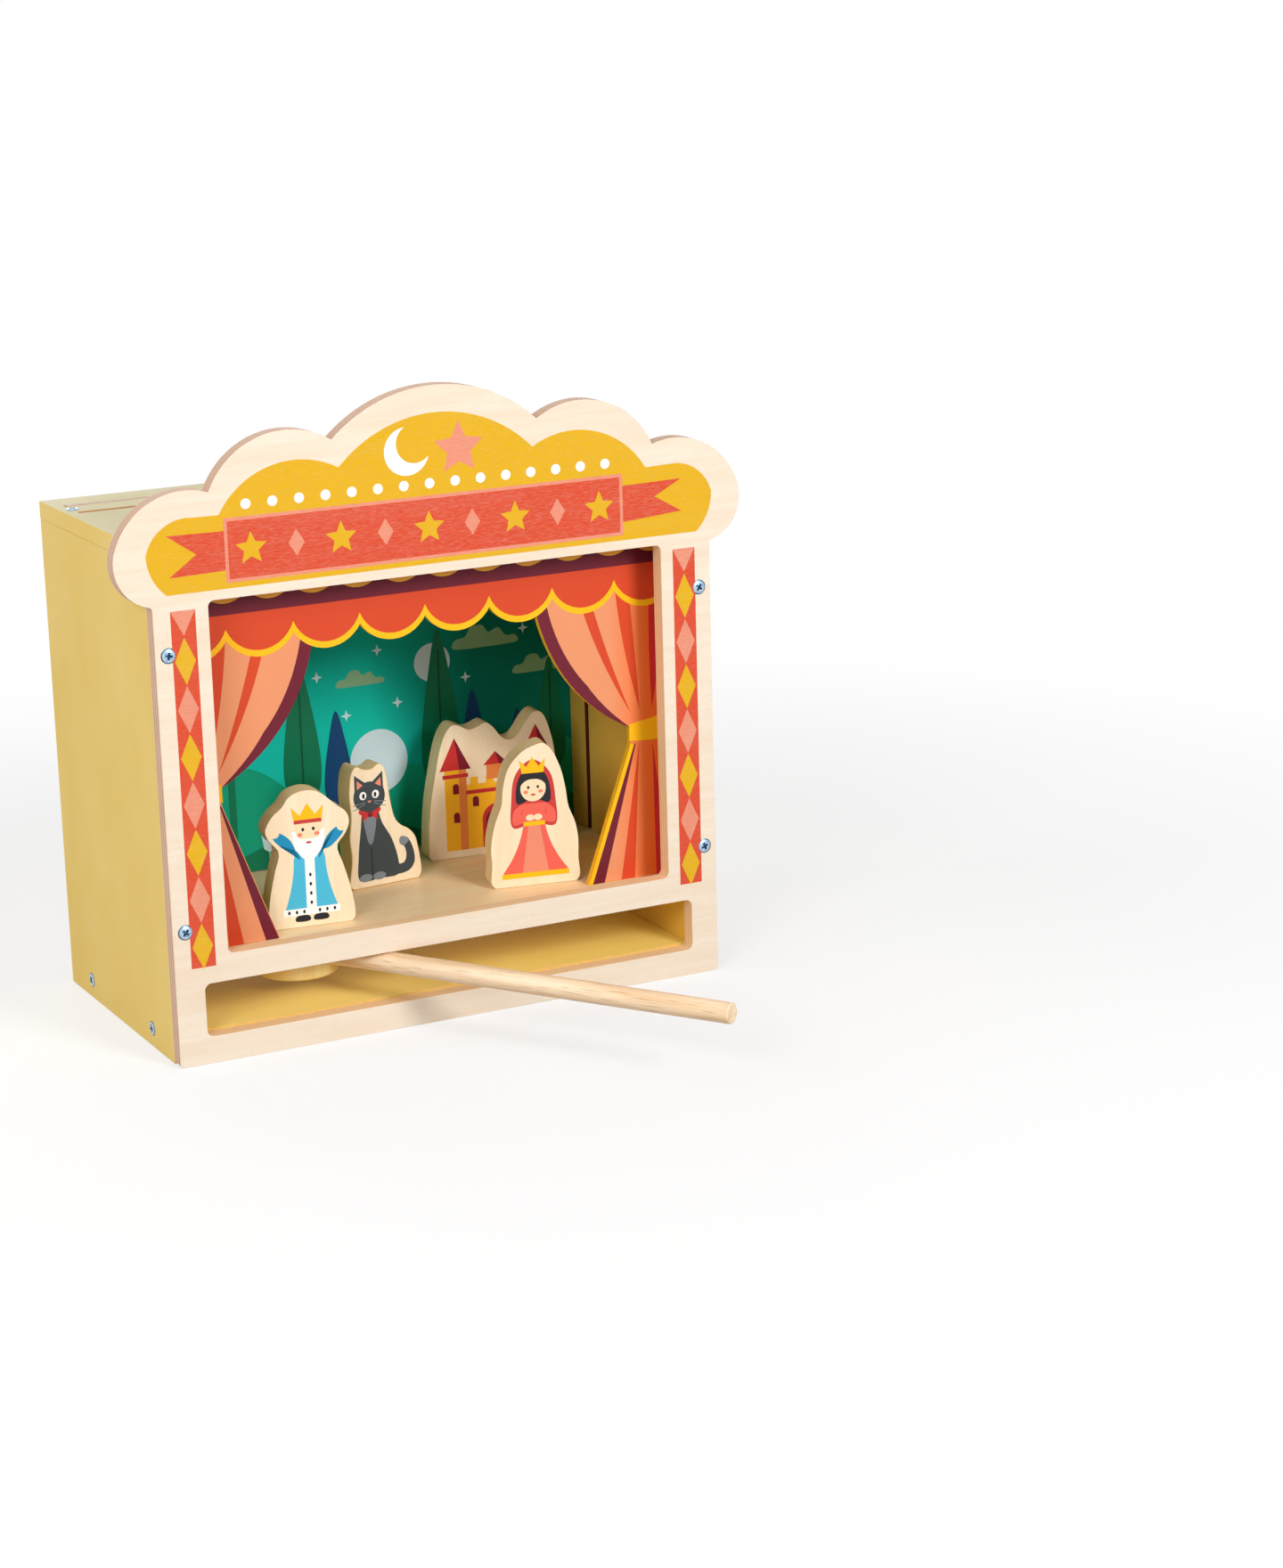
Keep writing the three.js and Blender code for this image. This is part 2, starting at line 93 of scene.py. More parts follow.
# Shader maths on sockets
class Wire:
    def __init__(self, tree, socket):
        self.tree = tree
        self.socket = socket

    def maths(self, operation, *values):
        return self.tree.add('ShaderNodeMath', {'operation': operation}, dict(enumerate(values)))

    def __add__(self, other):
        return self.maths('ADD', self, other)

    def __sub__(self, other):
        return self.maths('SUBTRACT', self, other)

    def __rsub__(self, other):
        return self.maths('SUBTRACT', other, self)

    def __mul__(self, other):
        return self.maths('MULTIPLY', self, other)

    def fraction(self):
        return self.maths('FRACT', self)

    def ramp(self, low, high):  # 0 below low, 1 above high
        return self.tree.add('ShaderNodeMapRange', {'clamp': True}, {0: self, 1: low, 2: high})

    __radd__ = __add__
    __rmul__ = __mul__


class Tree:
    def __init__(self, owner):
        owner.use_nodes = True
        self.nodes = owner.node_tree.nodes
        self.links = owner.node_tree.links

    def plug(self, value, socket):
        if isinstance(value, Wire):
            self.links.new(value.socket, socket)
        else:
            socket.default_value = value

    def add(self, kind, settings=None, values=None, output=0):
        node = self.nodes.new(kind)
        for key, setting in (settings or {}).items():
            setattr(node, key, setting)
        for key, value in (values or {}).items():
            self.plug(value, node.inputs[key])
        return Wire(self, node.outputs[output])

    def place(self):
        return self.add('ShaderNodeTexCoord', output='Object')


class Finish(Tree):
    def __init__(self, name, roughness, metallic=0.0, gloss=0.3):
        self.material = bpy.data.materials.new(name)
        super().__init__(self.material)
        self.shader = self.nodes['Principled BSDF']
        self.set('Roughness', roughness)
        self.set('Metallic', metallic)
        self.set('Specular IOR Level', gloss)

    def set(self, name, value):
        self.plug(value, self.shader.inputs[name])

    def along(self, axis):
        return self.add('ShaderNodeSeparateXYZ', None, {0: self.place()}, output='XYZ'.index(axis))

    # Noise with its cells per metre along X, Y and Z, turned first where the grain lies askew
    def noise(self, perMetre, detail=3.0, distortion=0.0, turn=None):
        spot = self.place()
        if turn:
            spot = self.add('ShaderNodeMapping', None, {'Vector': spot, 'Rotation': turn})
        stretched = self.add('ShaderNodeMapping', None, {'Vector': spot, 'Scale': perMetre})
        values = {'Vector': stretched, 'Scale': 1.0, 'Detail': detail, 'Distortion': distortion}
        return self.add('ShaderNodeTexNoise', None, values)

    def cloud(self, perMetre, detail=3.0):  # noise that is alike along every axis
        return self.noise((perMetre,) * 3, detail)

    def mix(self, share, first, second):
        return self.add('ShaderNodeMix', {'data_type': 'RGBA'}, {0: share, 6: first, 7: second}, output=2)

    def bump(self, height, depth):  # depth in millimetres
        values = {'Height': height, 'Distance': depth * mm, 'Strength': 1.0}
        self.set('Normal', self.add('ShaderNodeBump', None, values))


# Woods: the noise scales for grain along X or Z, and how the figure and the pores show
wood = {
    'X': {'figure': (7, 70, 90), 'pores': (150, 900, 1300)},
    'Z': {'figure': (90, 90, 9), 'pores': (1300, 1300, 110)},
    'figureDetail': 4.0, 'figureWarp': 1.2, 'figureRamp': (0.35, 0.72), 'figureHeight': 0.4,
    'poreDetail': 2.0, 'poreRamp': (0.56, 0.74), 'poreShare': 0.5, 'poreDepth': 0.6,
    'roughLess': 0.06, 'roughMore': 0.1, 'bump': 0.05,
}


def woodFinish(name, light, dark, grain, contrast=0.6, roughness=0.5):
    w, scales = wood, wood[grain]
    finish = Finish(name, roughness)
    figure = finish.noise(scales['figure'], w['figureDetail'], w['figureWarp']).ramp(*w['figureRamp'])
    pores = finish.noise(scales['pores'], w['poreDetail']).ramp(*w['poreRamp'])
    base = finish.mix(figure * contrast, tone(light), tone(dark))
    finish.set('Base Color', finish.mix(pores * (w['poreShare'] * contrast), base, tone('birchFleck')))
    finish.set('Roughness', roughness - w['roughLess'] + figure * w['roughMore'])
    finish.bump(pores * -w['poreDepth'] + figure * w['figureHeight'], w['bump'])
    return finish.material


# Sawn plywood edges: light and dark plies in turn
ply = {
    'count': 7, 'lineRamp': (0.46, 0.54), 'lineShare': 0.75, 'wander': 60, 'wanderShare': 0.3,
    'heightShare': 0.5, 'roughness': 0.6, 'bump': 0.06,
}


def plyEdgeFinish(name, axis, low, high, light='plyLight', dark='plyDark', count=ply['count']):
    finish = Finish(name, ply['roughness'])
    index = 'XYZ'.index(axis)
    depth = (finish.along(axis) - low[index]) * (count / 2 / (high[index] - low[index]))
    layer = depth.fraction().ramp(*ply['lineRamp'])
    wander = finish.cloud(ply['wander'])
    shade = layer * ply['lineShare'] + wander * ply['wanderShare']
    finish.set('Base Color', finish.mix(shade, tone(light), tone(dark)))
    finish.bump(layer * ply['heightShare'] + wander * ply['heightShare'], ply['bump'])
    return finish.material


paint = {
    'cloud': 18, 'cloudRamp': (0.3, 0.75), 'speck': 700, 'speckDetail': 2.0, 'gloss': 0.1,
    'roughness': 0.55, 'roughMore': 0.14, 'bump': 0.02,
}


def paintFinish(name, light, dark):
    finish = Finish(name, paint['roughness'], gloss=paint['gloss'])
    cloud = finish.cloud(paint['cloud'])
    finish.set('Base Color', finish.mix(cloud.ramp(*paint['cloudRamp']), tone(light), tone(dark)))
    finish.set('Roughness', paint['roughness'] + cloud * paint['roughMore'])
    finish.bump(finish.cloud(paint['speck'], paint['speckDetail']), paint['bump'])
    return finish.material


# An ink over ply lets the wood's flecks through, and one over smooth board doesn't
inking = {
    'cloud': 30, 'cloudShare': 0.35, 'lighter': (1.12, 0.012), 'fineDetail': 2.0,
    'fleckStretch': (1.8, 3.4, 3.4), 'fleckRamp': (0.48, 0.66), 'fleckShare': 0.7, 'fleckDepth': 0.05,
    'streakRamp': (0.5, 0.8), 'streakShare': 0.2,
    'dentStretch': (1.4, 2.6, 2.6), 'dentRamp': (0.5, 0.68), 'dentShare': 0.6, 'dentShade': 0.5,
    'tooth': 900, 'toothDepth': 0.015, 'gloss': 0.2, 'roughness': 0.42, 'roughLess': 0.05, 'roughMore': 0.1,
}


def woodThroughInk(finish, kind):  # flecks or dents along X, finer than the wood's own pores
    scale = [pores * stretch for pores, stretch in zip(wood['X']['pores'], inking[kind + 'Stretch'])]
    return finish.noise(scale, inking['fineDetail']).ramp(*inking[kind + 'Ramp'])


def inkFinish(name, tint, bare=0.0, rim=None):  # bare wood's share; rim is painted warm shade: a tint, its start and its end along X
    k = inking
    finish = Finish(name, k['roughness'], gloss=k['gloss'])
    base = tone(tint)
    cloud = finish.cloud(k['cloud'])
    body = finish.mix(cloud * k['cloudShare'], base, varied(base, *k['lighter']))
    if bare:
        flecks, dents = woodThroughInk(finish, 'fleck'), woodThroughInk(finish, 'dent')
        streaks = finish.noise(wood['X']['figure']).ramp(*k['streakRamp'])
        through = (flecks * k['fleckShare'] + streaks * k['streakShare']) * bare
        body = finish.mix(through, body, tone('birch'))
        body = finish.mix(dents * bare * k['dentShare'], body, varied(base, k['dentShade']))
        finish.bump(flecks * -1.0, k['fleckDepth'])
    else:
        finish.bump(finish.cloud(k['tooth'], k['fineDetail']), k['toothDepth'])
    # painted warm shade: the rim tint grows along X from start to end, so only the right curtain's outer
    # edge gets it, where the right jamb shades it
    if rim:
        warmShadeTint, start, end = rim
        body = finish.mix(finish.along('X').ramp(start * mm, end * mm), body, tone(warmShadeTint))
    finish.set('Base Color', body)
    finish.set('Roughness', k['roughness'] - k['roughLess'] + cloud * k['roughMore'])
    return finish.material


# The sky print, with painted shade: lighter low down and darker towards the top, for the valance's shadow,
# and darker towards the right, for the right curtain's shadow
sky = {
    'valanceShade': (130, 290), 'valanceShadeShare': 0.75, 'cloud': 9, 'cloudRamp': (0.35, 0.7), 'cloudShare': 0.2,
    'curtainShade': (20, 90), 'curtainShadeShare': 0.7, 'gloss': 0.05, 'roughness': 0.55,
}


def skyFinish(name):
    finish = Finish(name, sky['roughness'], gloss=sky['gloss'])
    # painted shade: the teal darkens towards the top and towards the right
    height, curtainShade = (finish.along(axis).ramp(*(end * mm for end in ends))
                    for axis, ends in (('Z', sky['valanceShade']), ('X', sky['curtainShade'])))
    cloud = finish.cloud(sky['cloud']).ramp(*sky['cloudRamp'])
    shade = height * sky['valanceShadeShare'] + cloud * sky['cloudShare']
    body = finish.mix(shade, tone('teal'), tone('tealDeepAndShade'))
    finish.set('Base Color', finish.mix(curtainShade * sky['curtainShadeShare'], body, tone('leafDarkAndShade')))
    finish.bump(finish.cloud(inking['tooth'], inking['fineDetail']), inking['toothDepth'])
    return finish.material


metal = {
    'stain': 420, 'stainDetail': 4.0, 'stainRamp': (0.42, 0.66), 'gloss': 0.5, 'roughness': 0.22,
    'roughMore': 0.2, 'bump': 0.01, 'metallic': 0.85,
    'speck': 1500, 'speckRamp': (0.4, 0.7), 'ferriteRoughness': 0.5, 'ferriteBump': 0.02,
}


def zincFinish(name, light, dark, metallic=metal['metallic']):
    finish = Finish(name, metal['roughness'], metallic, metal['gloss'])
    stain = finish.cloud(metal['stain'], metal['stainDetail'])
    finish.set('Base Color', finish.mix(stain.ramp(*metal['stainRamp']), tone(light), tone(dark)))
    finish.set('Roughness', metal['roughness'] + stain * metal['roughMore'])
    finish.bump(stain, metal['bump'])
    return finish.material


def magnetFinish(name):
    finish = Finish(name, metal['ferriteRoughness'])
    speck = finish.cloud(metal['speck'])
    finish.set('Base Color', finish.mix(speck.ramp(*metal['speckRamp']), tone('magnet'), tone('maroon')))
    finish.bump(speck, metal['ferriteBump'])
    return finish.material


# Outlines: lists of points across and up
def arcThrough(start, via, end, steps):
    a, b, c = (Vector(point) for point in (start, via, end))
    ab, ac = b - a, c - a
    twice = 2 * (ab.x * ac.y - ab.y * ac.x)
    centre = a + Vector((ac.y * ab.length_squared - ab.y * ac.length_squared,
                         ab.x * ac.length_squared - ac.x * ab.length_squared)) / twice
    first = math.atan2(a.y - centre.y, a.x - centre.x)
    last = math.atan2(c.y - centre.y, c.x - centre.x)
    turn = (last - first) % (2 * math.pi)
    if twice < 0:
        turn -= 2 * math.pi
    radius = (a - centre).length
    return [(centre.x + radius * math.cos(first + turn * step / steps),
             centre.y + radius * math.sin(first + turn * step / steps)) for step in range(steps + 1)]


def oval(x, z, across, up=None, steps=40):
    up = across if up is None else up
    angles = [2 * math.pi * step / steps for step in range(steps)]
    return [(x + across * math.cos(angle), z + up * math.sin(angle)) for angle in angles]


def smoothLoop(points, steps):  # a closed curve through the points
    curve = []
    count = len(points)
    for index in range(count):
        before, start, end, after = (Vector(points[(index + shift) % count]) for shift in (-1, 0, 1, 2))
        bend = 2 * before - 5 * start + 4 * end - after
        twist = 3 * start - before - 3 * end + after
        for t in (step / steps for step in range(steps)):
            spot = 0.5 * (2 * start + (end - before) * t + bend * t ** 2 + twist * t ** 3)
            curve.append((spot.x, spot.y))
    return curve


def bezier(start, control, end, steps=24):
    a, b, c = Vector(start), Vector(control), Vector(end)
    shares = [step / steps for step in range(steps + 1)]
    return [tuple((1 - t) ** 2 * a + 2 * t * (1 - t) * b + t ** 2 * c) for t in shares]


def block(left, bottom, right, top):
    return [(left, bottom), (right, bottom), (right, top), (left, top)]


def star(x, z, outer, inner, points=5):
    corners = []
    for index in range(2 * points):
        radius = outer if index % 2 == 0 else inner
        angle = math.pi / 2 + math.pi * index / points
        corners.append((x + radius * math.cos(angle), z + radius * math.sin(angle)))
    return corners


def diamond(x, z, across, up):
    return [(x, z - up / 2), (x + across / 2, z), (x, z + up / 2), (x - across / 2, z)]


def flip(outline):
    return [(-x, z) for x, z in reversed(outline)]


def both(outline):
    return [outline, flip(outline)]


def symmetric(right):  # a whole outline from its right half
    return right + [point for point in flip(right) if point[0]]


def placed(outline, x, z=0, across=1, up=1):
    return [(x + u * across, z + v * up) for u, v in outline]


# Pieces
def asPiece(name, bm, finishes, body):
    mesh = bpy.data.meshes.new(name)
    bm.to_mesh(mesh)
    bm.free()
    for finish in finishes:
        mesh.materials.append(finish)
    piece = bpy.data.objects.new(name, mesh)
    bpy.context.scene.collection.objects.link(piece)
    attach(piece, body)
    return piece


# A print is a film of ink on a board: each layer lies a little prouder than the one under it,
# and each outline of a layer a hair prouder than the one before
printing = {'layer': 0.045, 'hair': 0.00075, 'sunk': 0.3}


def ink(name, outlines, layer, finish, board):
    bm = bmesh.new()
    for index, outline in enumerate(outlines):
        lift = printing['layer'] * layer + index * printing['hair']
        face = bm.faces.new([bm.verts.new((x, -lift, z)) for x, z in outline])
        walls = bmesh.ops.extrude_face_region(bm, geom=[face])
        sunk = [item for item in walls['geom'] if isinstance(item, bmesh.types.BMVert)]
        bmesh.ops.translate(bm, verts=sunk, vec=(0, lift + printing['sunk'], 0))
    bmesh.ops.recalc_face_normals(bm, faces=bm.faces)
    bmesh.ops.transform(bm, matrix=board['place'], verts=bm.verts)
    return asPiece(board['name'] + '_' + name, bm, [finish], board['body'])


def inkAll(board, prints):  # each print has a name, its outlines, a layer and a finish
    for name, outlines, layer, finish in prints:
        ink(name, outlines, layer, finish, board)


easing = {
    'merge': 0.002, 'flatDegrees': 0.4, 'cornerDegrees': 35, 'segments': 2, 'flattenWeight': 80,
    'screwReach': 6.5, 'pocketReach': 7,  # no edge is eased this near a screw's or a magnet's hole
}


def weightNormals(piece):
    weighted = piece.modifiers.new('flatten', 'WEIGHTED_NORMAL')
    weighted.mode = 'FACE_AREA'
    weighted.weight = easing['flattenWeight']


# An eased copy of a sawn board or block: flat stretches become whole faces and corners get rounded
def easedCopy(node, ease, finishes, body, pickFinish, segments=easing['segments'], clear=()):
    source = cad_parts[node].data.copy()
    for layer in ('custom_normal', 'sharp_face'):
        if layer in source.attributes:
            source.attributes.remove(source.attributes[layer])
    bm = bmesh.new()
    bm.from_mesh(source)
    bpy.data.meshes.remove(source)
    bmesh.ops.remove_doubles(bm, verts=bm.verts, dist=easing['merge'] * mm)
    flat, corner = (math.radians(easing[name]) for name in ('flatDegrees', 'cornerDegrees'))
    bmesh.ops.dissolve_limit(bm, angle_limit=flat, verts=bm.verts, edges=bm.edges)
    corners = []
    for edge in bm.edges:
        middle = (edge.verts[0].co + edge.verts[1].co) / 2
        near = any((middle - spot).length < reach for spot, reach in clear)
        if len(edge.link_faces) == 2 and edge.calc_face_angle() > corner and not near:
            corners.append(edge)
    bmesh.ops.bevel(bm, geom=corners, offset=ease * mm, offset_type='OFFSET', segments=segments,
                    profile=0.5, affect='EDGES', material=-1, clamp_overlap=True)
    for face in bm.faces:
        face.smooth = True
        face.material_index = pickFinish(face)
    piece = asPiece(node + '_eased', bm, finishes, body)
    for edge in piece.data.edges:
        edge.use_edge_sharp = False
    weightNormals(piece)
    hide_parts(node)
    return piece


# A face counts as turned to an axis where its normal's share along it is above one of these
leaning = {'flat': 0.95, 'half': 0.5, 'eased': 0.35, 'slight': 0.3}


def turnedTo(face, axis, least):
    return abs(face.normal['XYZ'.index(axis)]) > leaning[least]


screwNodes = sorted(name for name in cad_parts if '_screw_' in name)


def screwSpots():  # both ends of every screw
    spots = []
    for node in screwNodes:
        low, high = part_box(node)
        longest = max(range(3), key=lambda axis: high[axis] - low[axis])
        for end in (low, high):
            spot = (low + high) / 2
            spot[longest] = end[longest]
            spots.append((spot, easing['screwReach'] * mm))
    return spots


holesToKeep = screwSpots()

frontLow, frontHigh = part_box('front_panel')
curtainLow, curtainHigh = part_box('curtain_board')
sceneryLow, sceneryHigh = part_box('scenery_board')
floorLow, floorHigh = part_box('stage_floor')


def boardPlace(front):  # millimetres in X and Z on a board's front face
    return Matrix.Translation((0, front, 0)) @ Matrix.Scale(mm, 4)


# Front panel
frontPanel = {
    'ease': 0.5, 'openingsHalf': 155, 'openingsBottom': 10, 'openingsTop': 265,
    'inks': [  # name, tint, share of bare wood that shows
        ('yellow_ink', 'yellow', 0.1), ('banner_ink', 'banner', 0.2), ('salmon_ink', 'salmon', 0.22),
        ('white_ink', 'white', 0.04), ('strip_ink', 'banner', 0.1)],
}


# Face, outer edge or inner edge. The inner edges round the openings get a warmer ply: painted bounce light
def faceOrEdge(face):
    spot = face.calc_center_median() / mm
    if turnedTo(face, 'Y', 'eased'):
        return 0
    inOpenings = frontPanel['openingsBottom'] < spot.z < frontPanel['openingsTop']
    return 2 if inOpenings and abs(spot.x) < frontPanel['openingsHalf'] else 1


birchFace = woodFinish('birch_face', 'birch', 'birchDark', 'X')
plyEdge = plyEdgeFinish('ply_edge', 'Y', frontLow, frontHigh)
plyInsideBounce = plyEdgeFinish('ply_inside_bounce', 'Y', frontLow, frontHigh, 'sillBounceLight', 'sillBounceDark')
easedCopy('front_panel', frontPanel['ease'], [birchFace, plyEdge, plyInsideBounce], 'theatre',
          faceOrEdge, clear=holesToKeep)
print('front panel')

# The yellow field. Its arcs have a point on the way, an end and a number of steps
crest = {
    'bottom': 267, 'bottomHalf': 161.5,
    'tip': ((169.6, 278), (172, 289.5), 10), 'shoulder': ((163, 303), (145, 307.9), 14),
    'cusp': (129.5, 307.6), 'lobe': ((86.5, 333.2), (58.7, 326.4), 30),
    'top': (0, 351.3), 'topSteps': 60,
}


def crestField():
    right = [(crest['bottomHalf'], crest['bottom'])]
    for part in ('tip', 'shoulder', 'cusp', 'lobe'):
        if part == 'cusp':
            right.append(crest[part])
        else:
            right += arcThrough(right[-1], *crest[part])[1:]
    left = flip(right)
    return right + arcThrough(right[-1], crest['top'], left[0], crest['topSteps'])[1:-1] + left


banner = {
    'left': -127, 'right': 114.5, 'bottom': 270, 'top': 305.5, 'border': 1.9,
    'leftTail': [(-126, 298.6), (-160, 299.3), (-143.3, 287.6), (-159.5, 276.3), (-126, 277)],
    'rightTail': [(113.5, 298.4), (152.3, 299), (135, 290.2), (152.3, 280.2), (113.5, 277.4)],
    'middle': -6.2, 'motifPitch': 26.4, 'motifsAside': 4, 'motifHeight': 288,
    'starDrop': 0.4, 'starOuter': 9.6, 'starInner': 4.4, 'diamondAcross': 9.5, 'diamondUp': 15,
}
dots = {'count': 15, 'first': -113.7, 'pitch': 15.54, 'height': 312.2, 'radius': 2.9, 'steps': 28}
crestStar = (13.5, 330.2, 15.5, 7.44)  # across, up, outer radius, inner radius
moon = {'spot': (-18, 331.2), 'radius': 13.5, 'bite': (6.21, 1.35), 'biteRadius': 11.07, 'leanDegrees': 28,
        'steps': 64}


def moonOutline():  # a disc with a smaller one bitten out of it, leant over
    outer = [p for p in oval(0, 0, moon['radius'], steps=moon['steps'])
             if math.dist(p, moon['bite']) > moon['biteRadius']]
    inner = [p for p in oval(*moon['bite'], moon['biteRadius'], steps=moon['steps'])
             if math.hypot(*p) < moon['radius']]
    cos, sin = (turn(math.radians(moon['leanDegrees'])) for turn in (math.cos, math.sin))
    leant = [(u * cos - v * sin, u * sin + v * cos) for u, v in outer + inner[::-1]]
    return placed(leant, *moon['spot'])


column = {
    'inner': 145.9, 'outer': 160.2, 'bottom': 56.5, 'top': 258, 'firstDiamond': 230, 'pitch': 26.9,
    'diamondAcross': 12, 'diamondUp': 26.4, 'count': 7, 'halfDiamondTip': 244.2,
}
column['middle'] = (column['inner'] + column['outer']) / 2


def columnDiamonds(start):
    shapes = []
    for index in range(start, column['count'], 2):
        z = column['firstDiamond'] - index * column['pitch']
        shapes += both(diamond(column['middle'], z, column['diamondAcross'], column['diamondUp']))
    return shapes


def printFront():
    board = {'name': 'front', 'body': 'theatre', 'slot': 'printed_ply', 'place': boardPlace(frontLow.y)}
    yellowInk, bannerInk, salmonInk, whiteInk, stripInk = (inkFinish(*row) for row in frontPanel['inks'])
    b, c, inset = banner, column, banner['border']
    border = block(b['left'], b['bottom'], b['right'], b['top'])
    field = block(b['left'] + inset, b['bottom'] + inset, b['right'] - inset, b['top'] - inset)
    aside = b['motifsAside']
    spots = [b['middle'] + b['motifPitch'] * index for index in range(-aside, aside + 1)]
    stars = [star(x, b['motifHeight'] - b['starDrop'], b['starOuter'], b['starInner']) for x in spots[::2]]
    diamonds = [diamond(x, b['motifHeight'], b['diamondAcross'], b['diamondUp']) for x in spots[1::2]]
    row = [oval(dots['first'] + dots['pitch'] * index, dots['height'], dots['radius'], steps=dots['steps'])
           for index in range(dots['count'])]
    halves = both([(c['inner'], c['top']), (c['middle'], c['halfDiamondTip']), (c['outer'], c['top'])])
    inkAll(board, [
        ('yellow_field', [crestField()], 1, yellowInk),
        ('banner_tails', [b['leftTail'], b['rightTail']], 2, bannerInk),
        ('banner_border', [border], 3, salmonInk),
        ('banner_field', [field], 4, bannerInk),
        ('banner_stars', stars, 5, yellowInk),
        ('banner_diamonds', diamonds, 5, salmonInk),
        ('dots', row, 2, whiteInk),
        ('moon', [moonOutline()], 2, whiteInk),
        ('star', [star(*crestStar)], 2, salmonInk),
        ('column_strips', both(block(c['inner'], c['bottom'], c['outer'], c['top'])), 1, stripInk),
        ('column_salmon', halves + columnDiamonds(1), 2, salmonInk),
        ('column_yellow', columnDiamonds(0), 2, yellowInk),
    ])


printFront()
print('front prints')

# Box boards. The walls of the slots and grooves lie within these margins of the scenery board, the
# stage floor and the front panel
box = {
    'ease': 0.7, 'floorEase': 0.4, 'floorPlies': 5, 'sideMargin': 1.2, 'rearMargin': 3, 'frontMargin': 9,
}
nearSides = sceneryHigh.x + box['sideMargin'] * mm
nearRear = sceneryHigh.y + box['rearMargin'] * mm


def sideFinish(face):  # outside, inside or groove: the inside gets a deeper yellow, painted bounce light, and the groove a dark brown with painted shade
    spot = face.calc_center_median()
    across = floorHigh.x + box['sideMargin'] * mm < abs(spot.x) < nearSides
    along = frontHigh.y + box['frontMargin'] * mm < spot.y < nearRear
    # groove walls: dark brown, bare board darkened further as painted shade
    if across and along and not turnedTo(face, 'Z', 'half'):
        return 2
    return 1 if face.normal.x * spot.x < 0 and turnedTo(face, 'X', 'half') else 0


def topFinish(face):  # edges, upper face or slot; the upper face gets a paler copy of the box paint, painted sheen
    spot = face.calc_center_median()
    if face.normal.z > leaning['half']:
        return 1
    inSlot = abs(spot.x) < nearSides and abs(spot.y) < nearRear
    return 2 if inSlot and not turnedTo(face, 'Z', 'half') else 0


# The base board gets a lighter copy of the box paint, painted light for what reaches it through the wand
# slot, and its front face a darker copy, painted shade that tones down its lit edge
def baseLitOrShaded(face):
    return 1 if face.normal.y < -leaning['slight'] else 0


def floorFinish(face):
    return 0 if turnedTo(face, 'Z', 'flat') else 1


# The inside paint is a deeper copy of the box paint: painted bounce light between the yellow walls
boxPaint, topPaintSheen, slotPaint, innerPaintBounce, grooveBareAndShade, basePaintLit, baseFrontShade = (
    paintFinish(name, light, dark) for name, light, dark in (
        ('box_paint', 'boxPaint', 'boxPaintDeep'), ('top_paint', 'topPaintSheen', 'topPaintSheenDeep'),
        ('slot_paint', 'slotPaint', 'slotPaint'), ('inner_paint_bounce', 'innerPaintBounce', 'innerPaintBounceDeep'),
        ('groove_shade', 'groove', 'maroon'), ('base_paint', 'basePaintLit', 'basePaintLitDeep'),
        ('base_front_shade', 'baseFrontShade', 'baseFrontShade')))
floorFace = woodFinish('floor_wood', 'floorWood', 'floorWoodDark', 'X', contrast=0.7, roughness=0.4)
floorEdge = plyEdgeFinish('floor_ply_edge', 'Z', floorLow, floorHigh, count=box['floorPlies'])
for node, finishes, slotName, pickFinish in (
        ('left_side_panel', [boxPaint, innerPaintBounce, grooveBareAndShade], 'side_paint', sideFinish),
        ('right_side_panel', [boxPaint, innerPaintBounce, grooveBareAndShade], 'side_paint', sideFinish),
        ('top_panel', [boxPaint, topPaintSheen, slotPaint], 'top_paint', topFinish),
        ('base_board', [basePaintLit, baseFrontShade], 'base_paint', baseLitOrShaded)):
    easedCopy(node, box['ease'], finishes, 'theatre', pickFinish, clear=holesToKeep)
easedCopy('stage_floor', box['floorEase'], [floorFace, floorEdge], 'theatre', floorFinish)
print('box')

# Curtain board. Stripes and folds are given by the ends of their wide side and by their tip
curtain = {
    'ease': 0.3, 'rim': ('apricotWarmShade', 116, 140), 'wall': 154.7, 'top': 281.7, 'overlap': 0.05,
    'foot': (98, 57.8), 'tieLow': (128, 139.5), 'tieHigh': (128, 149.5), 'sweep': (78, 175),
    'sweepTop': (67.8, 232.6), 'leftMargin': 0.5, 'rightMargin': 2.6, 'goldMargin': 2.7,
    'scallops': {'pitch': 40, 'cusp': 232.65, 'low': 221.45, 'top': 245},
    'valance': {'pitch': 40, 'cusp': 239.1, 'low': 225.1, 'top': 247.6},
    'pelmet': {'pitch': 26.5, 'cusp': 260.5, 'low': 253.6, 'top': 281.7, 'offset': -0.5},
    'scallopSteps': 14, 'bandLap': 0.5,
    'bandWidth': 8.2, 'bandGrowth': 2.4, 'bandPower': 0.8, 'bandAcross': 0.93, 'bandUp': 0.42,
    'foldTop': 233, 'foldBulge': 0.34, 'foldSteps': 14,
    'highStripes': [((96.4, 103.4), (129, 158)), ((120.6, 129.2), (134.6, 160))],
    'highDark': ((142.6, 152), (142.8, 160)),
    'lowStripe': ((119.6, 128.6), (133.8, 139.5)), 'lowDark': ((143, 152), (142.6, 139.5)),
    'lowBand': 7.8, 'tieBand': 0.9,
    'tie': [(127.6, 151.6), (141, 153.6), (154.7, 156.6), (154.7, 140.6), (141, 140.6), (127.4, 141.6)],
}


